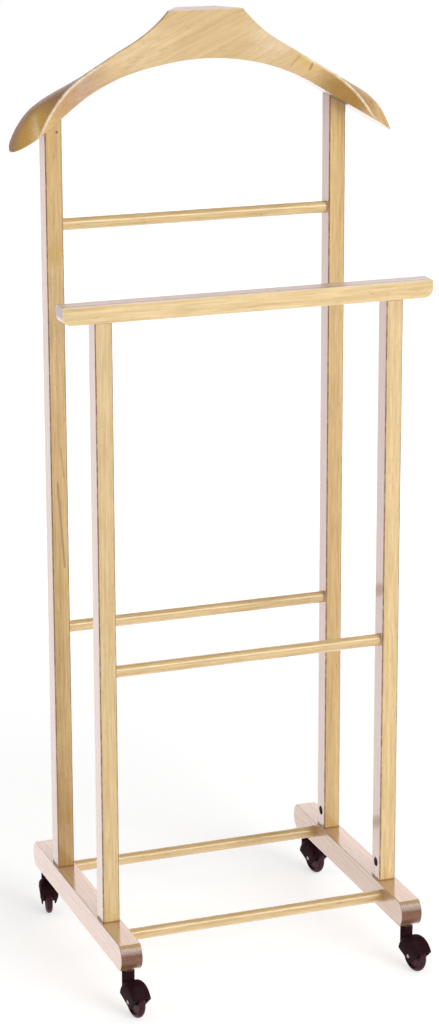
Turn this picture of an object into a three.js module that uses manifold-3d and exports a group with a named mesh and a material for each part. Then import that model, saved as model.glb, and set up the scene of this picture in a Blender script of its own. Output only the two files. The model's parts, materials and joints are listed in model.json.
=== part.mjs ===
// Double valet stand: two wooden ladder frames on a pair of foot rails, with a jacket hanger on the
// tall rear frame, a trouser bar on the low front frame, and four hooded swivel casters.
// Millimetres, +Z up, front towards -Y. The origin is on the floor, under the middle of the plan box.

import * as THREE from 'three';
import { mergeVertices } from 'three/addons/utils/BufferGeometryUtils.js';
import Module from 'manifold-3d';

const wasm = await Module();
wasm.setup();

// Clearances
const JOINT_GAP = 0.2;
const HOLE_GAP = 0.3;
const SLIVER = 0.5;
const TOOL_REACH = 90;
const WELD_DISTANCE = 1e-4;

// Frame layout
const FRAME_WIDTH = 340;
const FRAME_DEPTH = 172;
const ARRIS_RADIUS = 1.2;

// Foot rails
const RAIL_LENGTH = 340;
const RAIL_WIDTH = 25;
const RAIL_HEIGHT = 30.5;
const RAIL_END_RADIUS = 18;

// Uprights
const UPRIGHT_WIDTH = 20;
const UPRIGHT_DEPTH = 23;

// Front bar
const BAR_LENGTH = 432;
const BAR_DEPTH = 24;
const BAR_HEIGHT = 20;
const BAR_TOP = 798;
const BAR_CORNER_RADIUS = 10;

// Round rods
const ROD_DIAMETER = 14;
const ROD_CHAMFER = 1;
const ROD_SOCKET_DEPTH = 12;
const UPPER_ROD_BELOW_TOP = 237;
const LOWER_ROD_HEIGHT = 378.5;
const BASE_ROD_HEIGHT = 69.5;
const BASE_REAR_ROD_OFFSET = 17;
const BASE_FRONT_ROD_OFFSET = 22;

// Hanger, with depths measured from the middle of the rear uprights
const HANGER_TOP = 1089.5;
const HANGER_HALF_LENGTH = 225.5;
const PLATEAU_HALF_LENGTH = 44;
const NECK_HEIGHT = 53.5;
const ARCH_RADIUS = 265;
const ARCH_HALF_CHORD = 140;
const SHOULDER_SLOPE = THREE.MathUtils.degToRad(30.5);
const SHOULDER_RISE = 31.5;
const HOLLOW_END = 88;
const HOLLOW_STEEPEST = 0.97;
const RIDGE_BEND_START = 145;
const RIDGE_BEND_END = 198;
const TIP_BEND_START = 190;
const TIP_BACK = 32;
const WING_START = 130;
const WING_LEAD = 14;
const NECK_FRONT = 40;
const NECK_REAR = 4;
const WAIST_FRONT = 31;
const WAIST_START = 60;
const WAIST_END = 105;
const WING_FRONT = 55;
const WING_REAR = 11.5;
const REAR_BEVEL_DROP = 30;
const WING_REAR_DROP = 16;
const DROP_SHARE = 0.8;
const DOME_START = 135;
const DOME_END = 185;
const CREST_SHARE = 0.1;
const WING_CREST_SHARE = 0.46;
const FALL_POWER = 1.2;
const WING_FALL_POWER = 2;
const REAR_TIP_LEAD = 2;
const EDGE_LAND = 1.5;

// Foot bolts and their barrel nuts
const BOLT_DIAMETER = 6;
const BOLT_HEAD_DIAMETER = 12;
const BOLT_HEAD_HEIGHT = 4;
const BOLT_CHAMFER = 1;
const BOLT_KEY_SIZE = 4;
const BOLT_KEY_DEPTH = 2.5;
const BOLT_END_ROOM = 4;
const BOLT_PAST_NUT = 4;
const COUNTERBORE_DEPTH = 6;
const NUT_DIAMETER = 10;
const NUT_LENGTH = 15;
const NUT_RECESS = 2;
const NUT_ABOVE_RAIL = 20.4;
const NUT_SLOT_WIDTH = 1.4;
const NUT_SLOT_DEPTH = 1.5;

// Wooden pins in the tops of the uprights
const PIN_DIAMETER = 8;
const PIN_IN_UPRIGHT = 22;
const PIN_IN_TOP = 11;
const PIN_CHAMFER = 1;

// Casters, in a local frame: +X is the trail direction, Y the axle, Z up from the floor
const CASTER_HEIGHT = 52.5;
const STEM_FROM_RAIL_END = 15;
const CASTER_TRAIL = 18;
const WHEEL_RADIUS = 20;
const WHEEL_WIDTH = 8;
const WHEEL_WEB_WIDTH = 4;
const WHEEL_RIM_DEPTH = 5;
const HUB_RADIUS = 5.5;
const AXLE_DIAMETER = 5;
const AXLE_PROUD = 0.8;
const FORK_SLOT_WIDTH = 14;
const FORK_WIDTH = 22;
const HOOD_RADIUS = 22.5;
const HOOD_ROUND = 6;
const HOOD_CLEARANCE = 1;
const HOOD_LIP_ANGLE = THREE.MathUtils.degToRad(26);
const CHEEK_REAR_DEPTH = 8;
const CHEEK_FRONT_X = 31;
const CHEEK_FRONT_HEIGHT = 22;
const CHEEK_TIP_X = 20;
const CHEEK_TIP_HEIGHT = 11.5;
const CHEEK_TIP_RADIUS = 3.4;
const CHEEK_TAPER_TOP = 28;
const CHEEK_TAPER = 2.6;
const NECK_DIAMETER = 14.5;
const STEM_DIAMETER = 8;
const STEM_IN_NECK = 12;
const STEM_IN_RAIL = 22;
const SOCKET_WALL = 1.2;
const SOCKET_FLANGE_DIAMETER = 15;
const SOCKET_FLANGE_HEIGHT = 1.2;
const SWIVEL_GAP = 0.4;
const CASTER_HEADINGS = {
  front_left: 278,
  front_right: 281,
  rear_left: 257,
  rear_right: 279,
};

// Facets
const ROUND_SEGMENTS = 24;
const SMALL_SEGMENTS = 16;
const HOOD_SEGMENTS = 32;
const HOOD_ROUND_STEPS = 3;
const HEXAGON_SIDES = 6;
const ARRIS_SEGMENTS = 2;
const ARC_SEGMENTS = 8;
const TREAD_STEPS = 4;
const HANGER_STATIONS = 48;
const HANGER_TOP_POINTS = 8;

// Heights that follow from the driving dimensions
const railBottom = CASTER_HEIGHT;
const railTop = railBottom + RAIL_HEIGHT;
const uprightFoot = railTop + JOINT_GAP;
const barBottom = BAR_TOP - BAR_HEIGHT;
const upperRodHeight = HANGER_TOP - UPPER_ROD_BELOW_TOP;
const rearY = FRAME_DEPTH / 2;
const frontY = -FRAME_DEPTH / 2;
const sideX = FRAME_WIDTH / 2;
const stemY = RAIL_LENGTH / 2 - STEM_FROM_RAIL_END;
const nutHeight = railTop + NUT_ABOVE_RAIL;
const boltSeat = railBottom + COUNTERBORE_DEPTH;
const boltTop = nutHeight + NUT_DIAMETER / 2 + BOLT_PAST_NUT;
const planShift = (stemY + CASTER_TRAIL + WHEEL_RADIUS - RAIL_LENGTH / 2) / 2;

// Materials
const beech = new THREE.MeshStandardMaterial({ color: 0xdcbf94, roughness: 0.45, metalness: 0 });
const pinWood = new THREE.MeshStandardMaterial({ color: 0xd2b07c, roughness: 0.7, metalness: 0 });
const plastic = new THREE.MeshStandardMaterial({ color: 0x2c1c24, roughness: 0.5, metalness: 0 });
const tread = new THREE.MeshStandardMaterial({ color: 0x38242c, roughness: 0.45, metalness: 0 });
const steel = new THREE.MeshStandardMaterial({ color: 0xb9b7b4, roughness: 0.3, metalness: 1 });
const darkSteel = new THREE.MeshStandardMaterial({ color: 0x4a4341, roughness: 0.4, metalness: 1 });

// Booleans
function toSolid(geometry) {
  const bare = geometry.index ? geometry.clone() : mergeVertices(geometry);
  bare.deleteAttribute('normal');
  bare.deleteAttribute('uv');
  const merged = mergeVertices(bare, WELD_DISTANCE);
  return new wasm.Manifold(new wasm.Mesh({
    numProp: 3,
    vertProperties: new Float32Array(merged.attributes.position.array),
    triVerts: new Uint32Array(merged.index.array),
  }));
}

function toGeometry(solid) {
  const mesh = solid.getMesh();
  const geometry = new THREE.BufferGeometry();
  geometry.setAttribute('position', new THREE.BufferAttribute(new Float32Array(mesh.vertProperties), 3));
  geometry.setIndex(new THREE.BufferAttribute(new Uint32Array(mesh.triVerts), 1));
  geometry.computeVertexNormals();
  return geometry;
}

function cut(geometry, ...tools) {
  return toGeometry(tools.reduce((solid, tool) => solid.subtract(toSolid(tool)), toSolid(geometry)));
}

function join(geometry, ...others) {
  return toGeometry(others.reduce((solid, other) => solid.add(toSolid(other)), toSolid(geometry)));
}

function common(geometry, other) {
  return toGeometry(toSolid(geometry).intersect(toSolid(other)));
}

// A faceted hole whose flats clear a round part of the given radius
function holeRadius(radius, segments, gap = HOLE_GAP) {
  return (radius + gap) / Math.cos(Math.PI / segments);
}

// Round solids along +Z from the given height, or turned to lie along +X or +Y
function cylinderZ(radius, from, to, segments = ROUND_SEGMENTS) {
  return new THREE.CylinderGeometry(radius, radius, to - from, segments)
    .rotateX(Math.PI / 2)
    .translate(0, 0, (from + to) / 2);
}

function cylinderX(radius, from, to, segments = ROUND_SEGMENTS) {
  return new THREE.CylinderGeometry(radius, radius, to - from, segments)
    .rotateZ(Math.PI / 2)
    .translate((from + to) / 2, 0, 0);
}

function cylinderY(radius, from, to, segments = ROUND_SEGMENTS) {
  return new THREE.CylinderGeometry(radius, radius, to - from, segments)
    .translate(0, (from + to) / 2, 0);
}

// A blind hole along X into the inner face of a piece on the given side of the stand
function sideSocket(side, face, depth, radius, segments = ROUND_SEGMENTS) {
  const mouth = face - side * SLIVER;
  const bottom = face + side * depth;
  const from = Math.min(mouth, bottom);
  const to = Math.max(mouth, bottom);
  return cylinderX(holeRadius(radius, segments), from, to, segments);
}

// A solid of revolution about Z from [radius, height] pairs
function lathe(pairs, segments = ROUND_SEGMENTS) {
  const points = pairs.map(([radius, height]) => new THREE.Vector2(radius, height));
  return new THREE.LatheGeometry(points, segments).rotateX(Math.PI / 2);
}

function chamferedPin(radius, length, chamfer, segments) {
  return lathe([
    [0, 0],
    [radius - chamfer, 0],
    [radius, chamfer],
    [radius, length - chamfer],
    [radius - chamfer, length],
    [0, length],
  ], segments);
}

function box(minX, maxX, minY, maxY, minZ, maxZ) {
  return new THREE.BoxGeometry(maxX - minX, maxY - minY, maxZ - minZ)
    .translate((minX + maxX) / 2, (minY + maxY) / 2, (minZ + maxZ) / 2);
}

// A rectangle with rounded corners, centred on the origin
function roundedRectangle(width, height, radius) {
  const shape = new THREE.Shape();
  const x = width / 2 - radius;
  const y = height / 2 - radius;
  shape.absarc(x, y, radius, 0, Math.PI / 2);
  shape.absarc(-x, y, radius, Math.PI / 2, Math.PI);
  shape.absarc(-x, -y, radius, Math.PI, 1.5 * Math.PI);
  shape.absarc(x, -y, radius, 1.5 * Math.PI, 2 * Math.PI);
  return shape;
}

function extrude(shape, depth, curveSegments = ARC_SEGMENTS) {
  return new THREE.ExtrudeGeometry(shape, { depth, curveSegments, bevelEnabled: false });
}

// A smooth step from 0 at the start to 1 at the end
function ramp(value, start, end) {
  return THREE.MathUtils.smoothstep(value, start, end);
}

// Foot rails: bull-nosed ends, rod sockets inside, bolt and caster holes below
function railOutline() {
  const half = RAIL_HEIGHT / 2;
  const reach = Math.sqrt(RAIL_END_RADIUS ** 2 - half ** 2);
  const centre = RAIL_LENGTH / 2 - RAIL_END_RADIUS;
  const angle = Math.atan2(half, reach);
  const shape = new THREE.Shape();
  shape.absarc(centre, 0, RAIL_END_RADIUS, -angle, angle);
  shape.absarc(-centre, 0, RAIL_END_RADIUS, Math.PI - angle, Math.PI + angle);
  return shape;
}

const socketOuterRadius = STEM_DIAMETER / 2 + HOLE_GAP + SOCKET_WALL;

function footRail(side) {
  const body = extrude(railOutline(), RAIL_WIDTH)
    .rotateX(Math.PI / 2)
    .rotateZ(Math.PI / 2)
    .translate(-RAIL_WIDTH / 2, 0, railBottom + RAIL_HEIGHT / 2);
  const inner = -side * RAIL_WIDTH / 2;
  const tools = [];
  for (const y of [rearY + BASE_REAR_ROD_OFFSET, frontY - BASE_FRONT_ROD_OFFSET]) {
    tools.push(sideSocket(side, inner, ROD_SOCKET_DEPTH, ROD_DIAMETER / 2).translate(0, y, BASE_ROD_HEIGHT));
  }
  for (const y of [frontY, rearY]) {
    const shaft = holeRadius(BOLT_DIAMETER / 2, SMALL_SEGMENTS);
    const head = holeRadius(BOLT_HEAD_DIAMETER / 2, SMALL_SEGMENTS);
    tools.push(cylinderZ(shaft, railBottom - SLIVER, railTop + SLIVER, SMALL_SEGMENTS).translate(0, y, 0));
    tools.push(cylinderZ(head, railBottom - SLIVER, boltSeat, SMALL_SEGMENTS).translate(0, y, 0));
  }
  for (const y of [-stemY, stemY]) {
    const radius = holeRadius(socketOuterRadius, SMALL_SEGMENTS);
    const top = railBottom + STEM_IN_RAIL + 2 * HOLE_GAP + SOCKET_WALL;
    tools.push(cylinderZ(radius, railBottom - SLIVER, top, SMALL_SEGMENTS).translate(0, y, 0));
  }
  return cut(body, ...tools);
}

// Uprights: rounded arrises, rod sockets and the nut hole on the inner side, pin hole in the top
function uprightBlank(top) {
  const section = roundedRectangle(UPRIGHT_WIDTH, UPRIGHT_DEPTH, ARRIS_RADIUS);
  return extrude(section, top - uprightFoot, ARRIS_SEGMENTS).translate(0, 0, uprightFoot);
}

function uprightTools(side, rodHeights, pinBottom, top) {
  const inner = -side * UPRIGHT_WIDTH / 2;
  const nutDepth = NUT_RECESS + NUT_LENGTH + HOLE_GAP;
  const bolt = holeRadius(BOLT_DIAMETER / 2, SMALL_SEGMENTS);
  const pinRadius = holeRadius(PIN_DIAMETER / 2, SMALL_SEGMENTS);
  const tools = rodHeights.map((height) => (
    sideSocket(side, inner, ROD_SOCKET_DEPTH, ROD_DIAMETER / 2).translate(0, 0, height)
  ));
  tools.push(sideSocket(side, inner, nutDepth, NUT_DIAMETER / 2, SMALL_SEGMENTS).translate(0, 0, nutHeight));
  tools.push(cylinderZ(bolt, uprightFoot - SLIVER, boltTop + BOLT_END_ROOM, SMALL_SEGMENTS));
  tools.push(cylinderZ(pinRadius, pinBottom - HOLE_GAP, top + SLIVER, SMALL_SEGMENTS));
  return tools;
}

// Wedge that cuts the top of a rear upright parallel to the sloping underside of the hanger
function mitreTool(side) {
  const slope = Math.atan(archSlope);
  return box(-TOOL_REACH, TOOL_REACH, -TOOL_REACH, TOOL_REACH, 0, TOOL_REACH)
    .rotateY(side * slope)
    .translate(0, 0, archHeight(sideX) - JOINT_GAP / Math.cos(slope));
}

function rearUpright(side) {
  const top = archHeight(sideX) + UPRIGHT_WIDTH;
  const tools = uprightTools(side, [upperRodHeight, LOWER_ROD_HEIGHT], rearPinBottom, top);
  return cut(uprightBlank(top), ...tools, mitreTool(side));
}

function frontUpright(side) {
  const top = barBottom - JOINT_GAP;
  return cut(uprightBlank(top), ...uprightTools(side, [LOWER_ROD_HEIGHT], frontPinBottom, top));
}

// Hanger heights, as functions of the distance from the middle
const archCentre = HANGER_TOP - NECK_HEIGHT - ARCH_RADIUS;
const archEdge = archCentre + Math.sqrt(ARCH_RADIUS ** 2 - ARCH_HALF_CHORD ** 2);
const archSlope = ARCH_HALF_CHORD / Math.sqrt(ARCH_RADIUS ** 2 - ARCH_HALF_CHORD ** 2);

function archHeight(distance) {
  if (distance > ARCH_HALF_CHORD) {
    return archEdge - archSlope * (distance - ARCH_HALF_CHORD);
  }
  return archCentre + Math.sqrt(ARCH_RADIUS ** 2 - distance ** 2);
}

const shoulderTangent = Math.tan(SHOULDER_SLOPE);
const hollowBottom = archHeight(HOLLOW_END) + SHOULDER_RISE;

function shoulderLine(distance) {
  return hollowBottom - shoulderTangent * (distance - HOLLOW_END);
}

// Circle tangent to the shoulder line at one point and passing through another
function tangentCircle(tangentDistance, throughDistance, throughHeight) {
  const startHeight = shoulderLine(tangentDistance);
  const dx = throughDistance - tangentDistance;
  const dz = throughHeight - startHeight;
  const normalX = Math.sin(SHOULDER_SLOPE);
  const normalZ = Math.cos(SHOULDER_SLOPE);
  const radius = (dx * dx + dz * dz) / (2 * (dx * normalX + dz * normalZ));
  return {
    x: tangentDistance + radius * normalX,
    z: startHeight + radius * normalZ,
    radius: Math.abs(radius),
    hollow: radius > 0,
  };
}

function circleHeight(circle, distance) {
  const reach = Math.sqrt(Math.max(circle.radius ** 2 - (distance - circle.x) ** 2, 0));
  return circle.hollow ? circle.z - reach : circle.z + reach;
}

const hollow = tangentCircle(HOLLOW_END, PLATEAU_HALF_LENGTH, HANGER_TOP);
const ridgeBend = tangentCircle(RIDGE_BEND_START, RIDGE_BEND_END, archHeight(RIDGE_BEND_END));
const tipBend = tangentCircle(TIP_BEND_START, HANGER_HALF_LENGTH, archHeight(HANGER_HALF_LENGTH));
const hollowStart = hollow.x - HOLLOW_STEEPEST * hollow.radius;

function crestHeight(distance) {
  if (distance < HOLLOW_END) {
    return circleHeight(hollow, Math.max(distance, hollowStart));
  }
  return distance < TIP_BEND_START ? shoulderLine(distance) : circleHeight(tipBend, distance);
}

function ridgeHeight(distance) {
  const bend = distance < RIDGE_BEND_START ? crestHeight(distance) : circleHeight(ridgeBend, distance);
  return Math.max(Math.min(bend, crestHeight(distance)), archHeight(distance) + EDGE_LAND);
}

// Hanger depths, from the middle of the rear uprights
function tipRound(distance, start) {
  const share = (distance - start) / (HANGER_HALF_LENGTH - start);
  return share <= 0 ? 1 : Math.sqrt(Math.max(1 - share * share, 0));
}

function frontEdge(distance) {
  const waist = (NECK_FRONT - WAIST_FRONT) * ramp(distance, PLATEAU_HALF_LENGTH, WAIST_END);
  const wing = (WING_FRONT - WAIST_FRONT) * ramp(distance, WING_START, RIDGE_BEND_END + WING_LEAD);
  const edge = -NECK_FRONT + waist - wing;
  return -TIP_BACK + (edge + TIP_BACK) * tipRound(distance, RIDGE_BEND_END);
}

function rearEdge(distance) {
  const edge = -NECK_REAR + (WING_REAR + NECK_REAR) * ramp(distance, WAIST_START, RIDGE_BEND_START);
  return -TIP_BACK + (edge + TIP_BACK) * tipRound(distance, sideX + UPRIGHT_WIDTH / 2 + REAR_TIP_LEAD);
}

// One section across the hanger: [depth, height] pairs from the front lower edge round to the rear one
function hangerSection(distance) {
  const front = frontEdge(distance);
  const rear = rearEdge(distance);
  const floor = archHeight(distance);
  const ridge = ridgeHeight(distance);
  const crest = Math.max(crestHeight(distance), ridge);
  const wing = ramp(distance, DOME_START, DOME_END);
  const crestShare = CREST_SHARE + (WING_CREST_SHARE - CREST_SHARE) * wing;
  const fallPower = FALL_POWER + (WING_FALL_POWER - FALL_POWER) * wing;
  const outward = ramp(distance, PLATEAU_HALF_LENGTH, sideX);
  const wanted = REAR_BEVEL_DROP + (WING_REAR_DROP - REAR_BEVEL_DROP) * outward;
  const drop = Math.min(wanted, Math.max(crest - floor - 2 * EDGE_LAND, 0) * DROP_SHARE);
  const pairs = [[front, floor]];
  for (let i = 0; i <= HANGER_TOP_POINTS; i += 1) {
    const share = i / HANGER_TOP_POINTS;
    const rise = Math.sin(Math.min(share / crestShare, 1) * Math.PI / 2);
    const fall = Math.max((share - crestShare) / (1 - crestShare), 0) ** fallPower;
    pairs.push([front + share * (rear - front), ridge + (crest - ridge) * rise - drop * fall]);
  }
  pairs.push([rear, floor]);
  return pairs;
}

function hangerLoft() {
  const count = HANGER_TOP_POINTS + 3;
  const positions = [];
  const index = [];
  const last = HANGER_STATIONS - 1;
  for (let i = 1; i <= last; i += 1) {
    const x = HANGER_HALF_LENGTH * Math.sin((i / HANGER_STATIONS - 0.5) * Math.PI);
    for (const [y, z] of hangerSection(Math.abs(x))) {
      positions.push(x, y, z);
    }
  }
  for (let i = 0; i < last - 1; i += 1) {
    for (let j = 0; j < count; j += 1) {
      const a = i * count + j;
      const b = i * count + (j + 1) % count;
      index.push(a, a + count, b, b, a + count, b + count);
    }
  }
  const leftTip = positions.length / 3;
  positions.push(-HANGER_HALF_LENGTH, -TIP_BACK, archHeight(HANGER_HALF_LENGTH));
  positions.push(HANGER_HALF_LENGTH, -TIP_BACK, archHeight(HANGER_HALF_LENGTH));
  const end = (last - 1) * count;
  for (let j = 0; j < count; j += 1) {
    const next = (j + 1) % count;
    index.push(leftTip, j, next);
    index.push(leftTip + 1, end + next, end + j);
  }
  const geometry = new THREE.BufferGeometry();
  geometry.setAttribute('position', new THREE.Float32BufferAttribute(positions, 3));
  geometry.setIndex(index);
  return geometry;
}

const rearPinBottom = archHeight(sideX) - PIN_IN_UPRIGHT;
const rearPinTop = archHeight(sideX) + PIN_IN_TOP;
const frontPinBottom = barBottom - PIN_IN_UPRIGHT;
const frontPinTop = barBottom + PIN_IN_TOP;

function pinHole(x, from, to) {
  return cylinderZ(holeRadius(PIN_DIAMETER / 2, SMALL_SEGMENTS), from, to + HOLE_GAP, SMALL_SEGMENTS)
    .translate(x, 0, 0);
}

function hanger() {
  const reach = HANGER_HALF_LENGTH;
  const slab = box(-reach, reach, -reach, reach, HANGER_TOP, HANGER_TOP + reach);
  const holes = [-sideX, sideX].map((x) => pinHole(x, rearPinBottom, rearPinTop));
  return cut(hangerLoft(), slab, ...holes);
}

// Front bar: square above, large rounds at the lower corners of both ends
function frontBar() {
  const half = BAR_LENGTH / 2;
  const shape = new THREE.Shape();
  shape.moveTo(-half, BAR_HEIGHT);
  shape.lineTo(-half, BAR_CORNER_RADIUS);
  shape.absarc(-half + BAR_CORNER_RADIUS, BAR_CORNER_RADIUS, BAR_CORNER_RADIUS, Math.PI, 1.5 * Math.PI);
  shape.absarc(half - BAR_CORNER_RADIUS, BAR_CORNER_RADIUS, BAR_CORNER_RADIUS, 1.5 * Math.PI, 2 * Math.PI);
  shape.lineTo(half, BAR_HEIGHT);
  const body = extrude(shape, BAR_DEPTH)
    .rotateX(Math.PI / 2)
    .translate(0, BAR_DEPTH / 2, barBottom);
  return cut(body, ...[-sideX, sideX].map((x) => pinHole(x, barBottom - SLIVER, frontPinTop)));
}

function rod(clearSpan) {
  const length = clearSpan + 2 * (ROD_SOCKET_DEPTH - HOLE_GAP);
  return chamferedPin(ROD_DIAMETER / 2, length, ROD_CHAMFER, ROUND_SEGMENTS)
    .translate(0, 0, -length / 2)
    .rotateY(Math.PI / 2);
}

function pin(from, to) {
  return chamferedPin(PIN_DIAMETER / 2, to - from, PIN_CHAMFER, SMALL_SEGMENTS).translate(0, 0, from);
}

// Foot bolt: a low round head with a hexagon socket, and a plain shank
function footBolt() {
  const radius = BOLT_DIAMETER / 2;
  const head = BOLT_HEAD_DIAMETER / 2;
  const seat = boltSeat - JOINT_GAP;
  const body = lathe([
    [0, seat - BOLT_HEAD_HEIGHT],
    [head - BOLT_CHAMFER, seat - BOLT_HEAD_HEIGHT],
    [head, seat - BOLT_HEAD_HEIGHT + BOLT_CHAMFER],
    [head, seat],
    [radius, seat],
    [radius, boltTop - BOLT_CHAMFER],
    [radius - BOLT_CHAMFER, boltTop],
    [0, boltTop],
  ], SMALL_SEGMENTS);
  const key = cylinderZ(BOLT_KEY_SIZE / Math.sqrt(3), seat - BOLT_HEAD_HEIGHT - SLIVER,
    seat - BOLT_HEAD_HEIGHT + BOLT_KEY_DEPTH, HEXAGON_SIDES);
  return cut(body, key);
}

// Barrel nut: a short cross pin with a bolt hole and a screwdriver slot in its outer end
function barrelNut(side) {
  const outer = -side * NUT_LENGTH / 2;
  const body = cylinderX(NUT_DIAMETER / 2, -NUT_LENGTH / 2, NUT_LENGTH / 2, SMALL_SEGMENTS);
  const shift = -side * (UPRIGHT_WIDTH / 2 - NUT_RECESS - NUT_LENGTH / 2);
  const boreRadius = holeRadius(BOLT_DIAMETER / 2, SMALL_SEGMENTS);
  const bore = cylinderZ(boreRadius, -NUT_DIAMETER, NUT_DIAMETER, SMALL_SEGMENTS).translate(-shift, 0, 0);
  const slot = box(outer - NUT_SLOT_DEPTH, outer + NUT_SLOT_DEPTH, -NUT_DIAMETER, NUT_DIAMETER,
    -NUT_SLOT_WIDTH / 2, NUT_SLOT_WIDTH / 2);
  return cut(body, bore, slot).translate(shift, 0, nutHeight);
}

// Caster socket: a flanged sleeve pressed into the rail
function casterSocket() {
  const inner = holeRadius(STEM_DIAMETER / 2, SMALL_SEGMENTS);
  const top = railBottom + STEM_IN_RAIL + HOLE_GAP;
  const flange = railBottom - JOINT_GAP;
  return lathe([
    [inner, flange - SOCKET_FLANGE_HEIGHT],
    [SOCKET_FLANGE_DIAMETER / 2, flange - SOCKET_FLANGE_HEIGHT],
    [SOCKET_FLANGE_DIAMETER / 2, flange],
    [socketOuterRadius, flange],
    [socketOuterRadius, top],
    [inner, top],
    [inner, flange - SOCKET_FLANGE_HEIGHT],
  ], SMALL_SEGMENTS);
}

const neckTop = railBottom - JOINT_GAP - SOCKET_FLANGE_HEIGHT - SWIVEL_GAP;

// Caster stem: a steel pin that turns in the sleeve
function casterStem() {
  const bottom = neckTop - STEM_IN_NECK + HOLE_GAP;
  const length = railBottom + STEM_IN_RAIL - bottom;
  return chamferedPin(STEM_DIAMETER / 2, length, PIN_CHAMFER, SMALL_SEGMENTS).translate(0, 0, bottom);
}

// Caster fork: a drum-shaped hood round the axle, cut to two pointed cheeks, with a round neck
function hoodDrum() {
  const half = FORK_WIDTH / 2;
  const pairs = [[0, -half]];
  for (const end of [-1, 1]) {
    for (let i = 0; i <= HOOD_ROUND_STEPS; i += 1) {
      const angle = (end < 0 ? i : HOOD_ROUND_STEPS - i) / HOOD_ROUND_STEPS * Math.PI / 2;
      const radius = HOOD_RADIUS - HOOD_ROUND + HOOD_ROUND * Math.sin(angle);
      pairs.push([radius, end * (half - HOOD_ROUND + HOOD_ROUND * Math.cos(angle))]);
    }
  }
  pairs.push([0, half]);
  return lathe(pairs, HOOD_SEGMENTS)
    .rotateX(Math.PI / 2)
    .translate(CASTER_TRAIL, 0, WHEEL_RADIUS);
}

function forkOutline() {
  const reach = HOOD_RADIUS + SLIVER;
  const lipX = CASTER_TRAIL + reach * Math.cos(HOOD_LIP_ANGLE);
  const lipZ = WHEEL_RADIUS + reach * Math.sin(HOOD_LIP_ANGLE);
  const rearX = -NECK_DIAMETER / 2 - SLIVER;
  const rearZ = WHEEL_RADIUS + CHEEK_REAR_DEPTH;
  const tipZ = CHEEK_TIP_HEIGHT + CHEEK_TIP_RADIUS;
  const rearAngle = Math.atan2(tipZ - rearZ, CHEEK_TIP_X - rearX) - Math.PI / 2;
  const frontAngle = Math.atan2(CHEEK_FRONT_HEIGHT - tipZ, CHEEK_FRONT_X - CHEEK_TIP_X) - Math.PI / 2;
  const shape = new THREE.Shape();
  shape.moveTo(rearX, neckTop);
  shape.lineTo(rearX, rearZ);
  shape.absarc(CHEEK_TIP_X, tipZ, CHEEK_TIP_RADIUS, rearAngle, frontAngle);
  shape.lineTo(CHEEK_FRONT_X, CHEEK_FRONT_HEIGHT);
  shape.lineTo(lipX, lipZ);
  shape.lineTo(lipX, neckTop);
  return shape;
}

function cheekTaper(side) {
  const half = FORK_WIDTH / 2;
  const shape = new THREE.Shape();
  shape.moveTo(half, CHEEK_TAPER_TOP);
  shape.lineTo(half - CHEEK_TAPER, CHEEK_TIP_HEIGHT);
  shape.lineTo(half - CHEEK_TAPER, 0);
  shape.lineTo(half + SLIVER, 0);
  shape.lineTo(half + SLIVER, CHEEK_TAPER_TOP);
  return extrude(shape, TOOL_REACH)
    .rotateX(Math.PI / 2)
    .rotateZ(side * Math.PI / 2)
    .translate(side * TOOL_REACH / 2, 0, 0);
}

function casterFork() {
  const prism = extrude(forkOutline(), 2 * FORK_WIDTH)
    .rotateX(Math.PI / 2)
    .translate(0, FORK_WIDTH, 0);
  const neck = cylinderZ(NECK_DIAMETER / 2, WHEEL_RADIUS, neckTop);
  const body = common(join(hoodDrum(), neck), prism);
  const slot = FORK_SLOT_WIDTH / 2;
  const cavity = cylinderY(WHEEL_RADIUS + HOOD_CLEARANCE, -slot, slot, HOOD_SEGMENTS)
    .translate(CASTER_TRAIL, 0, WHEEL_RADIUS);
  const axleRadius = holeRadius(AXLE_DIAMETER / 2, SMALL_SEGMENTS);
  const axleHole = cylinderY(axleRadius, -FORK_WIDTH, FORK_WIDTH, SMALL_SEGMENTS)
    .translate(CASTER_TRAIL, 0, WHEEL_RADIUS);
  const stemRadius = holeRadius(STEM_DIAMETER / 2, SMALL_SEGMENTS);
  const stemHole = cylinderZ(stemRadius, neckTop - STEM_IN_NECK, neckTop + SLIVER, SMALL_SEGMENTS);
  return cut(body, cavity, axleHole, stemHole, cheekTaper(-1), cheekTaper(1));
}

// Caster wheel: round tread, thin web and a hub that runs between the cheeks
function casterWheel() {
  const bore = holeRadius(AXLE_DIAMETER / 2, SMALL_SEGMENTS);
  const hub = FORK_SLOT_WIDTH / 2 - HOLE_GAP;
  const web = WHEEL_WEB_WIDTH / 2;
  const round = WHEEL_WIDTH / 2;
  const rim = WHEEL_RADIUS - WHEEL_RIM_DEPTH;
  const pairs = [[bore, -hub], [HUB_RADIUS, -hub], [HUB_RADIUS, -web], [rim, -web]];
  for (let i = 0; i <= TREAD_STEPS; i += 1) {
    const angle = (i / TREAD_STEPS - 0.5) * Math.PI;
    pairs.push([WHEEL_RADIUS - round + round * Math.cos(angle), round * Math.sin(angle)]);
  }
  pairs.push([rim, web], [HUB_RADIUS, web], [HUB_RADIUS, hub], [bore, hub], [bore, -hub]);
  return lathe(pairs, ROUND_SEGMENTS)
    .rotateX(Math.PI / 2)
    .translate(CASTER_TRAIL, 0, WHEEL_RADIUS);
}

function casterAxle() {
  const length = FORK_WIDTH + 2 * AXLE_PROUD - CHEEK_TAPER;
  return chamferedPin(AXLE_DIAMETER / 2, length, AXLE_PROUD, SMALL_SEGMENTS)
    .translate(0, 0, -length / 2)
    .rotateX(Math.PI / 2)
    .translate(CASTER_TRAIL, 0, WHEEL_RADIUS);
}

// Assembly
const stand = new THREE.Group();
stand.position.y = planShift;

function add(name, geometry, material, x = 0, y = 0, z = 0, parent = stand) {
  const mesh = new THREE.Mesh(geometry, material);
  mesh.name = name;
  mesh.position.set(x, y, z);
  parent.add(mesh);
}

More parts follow.
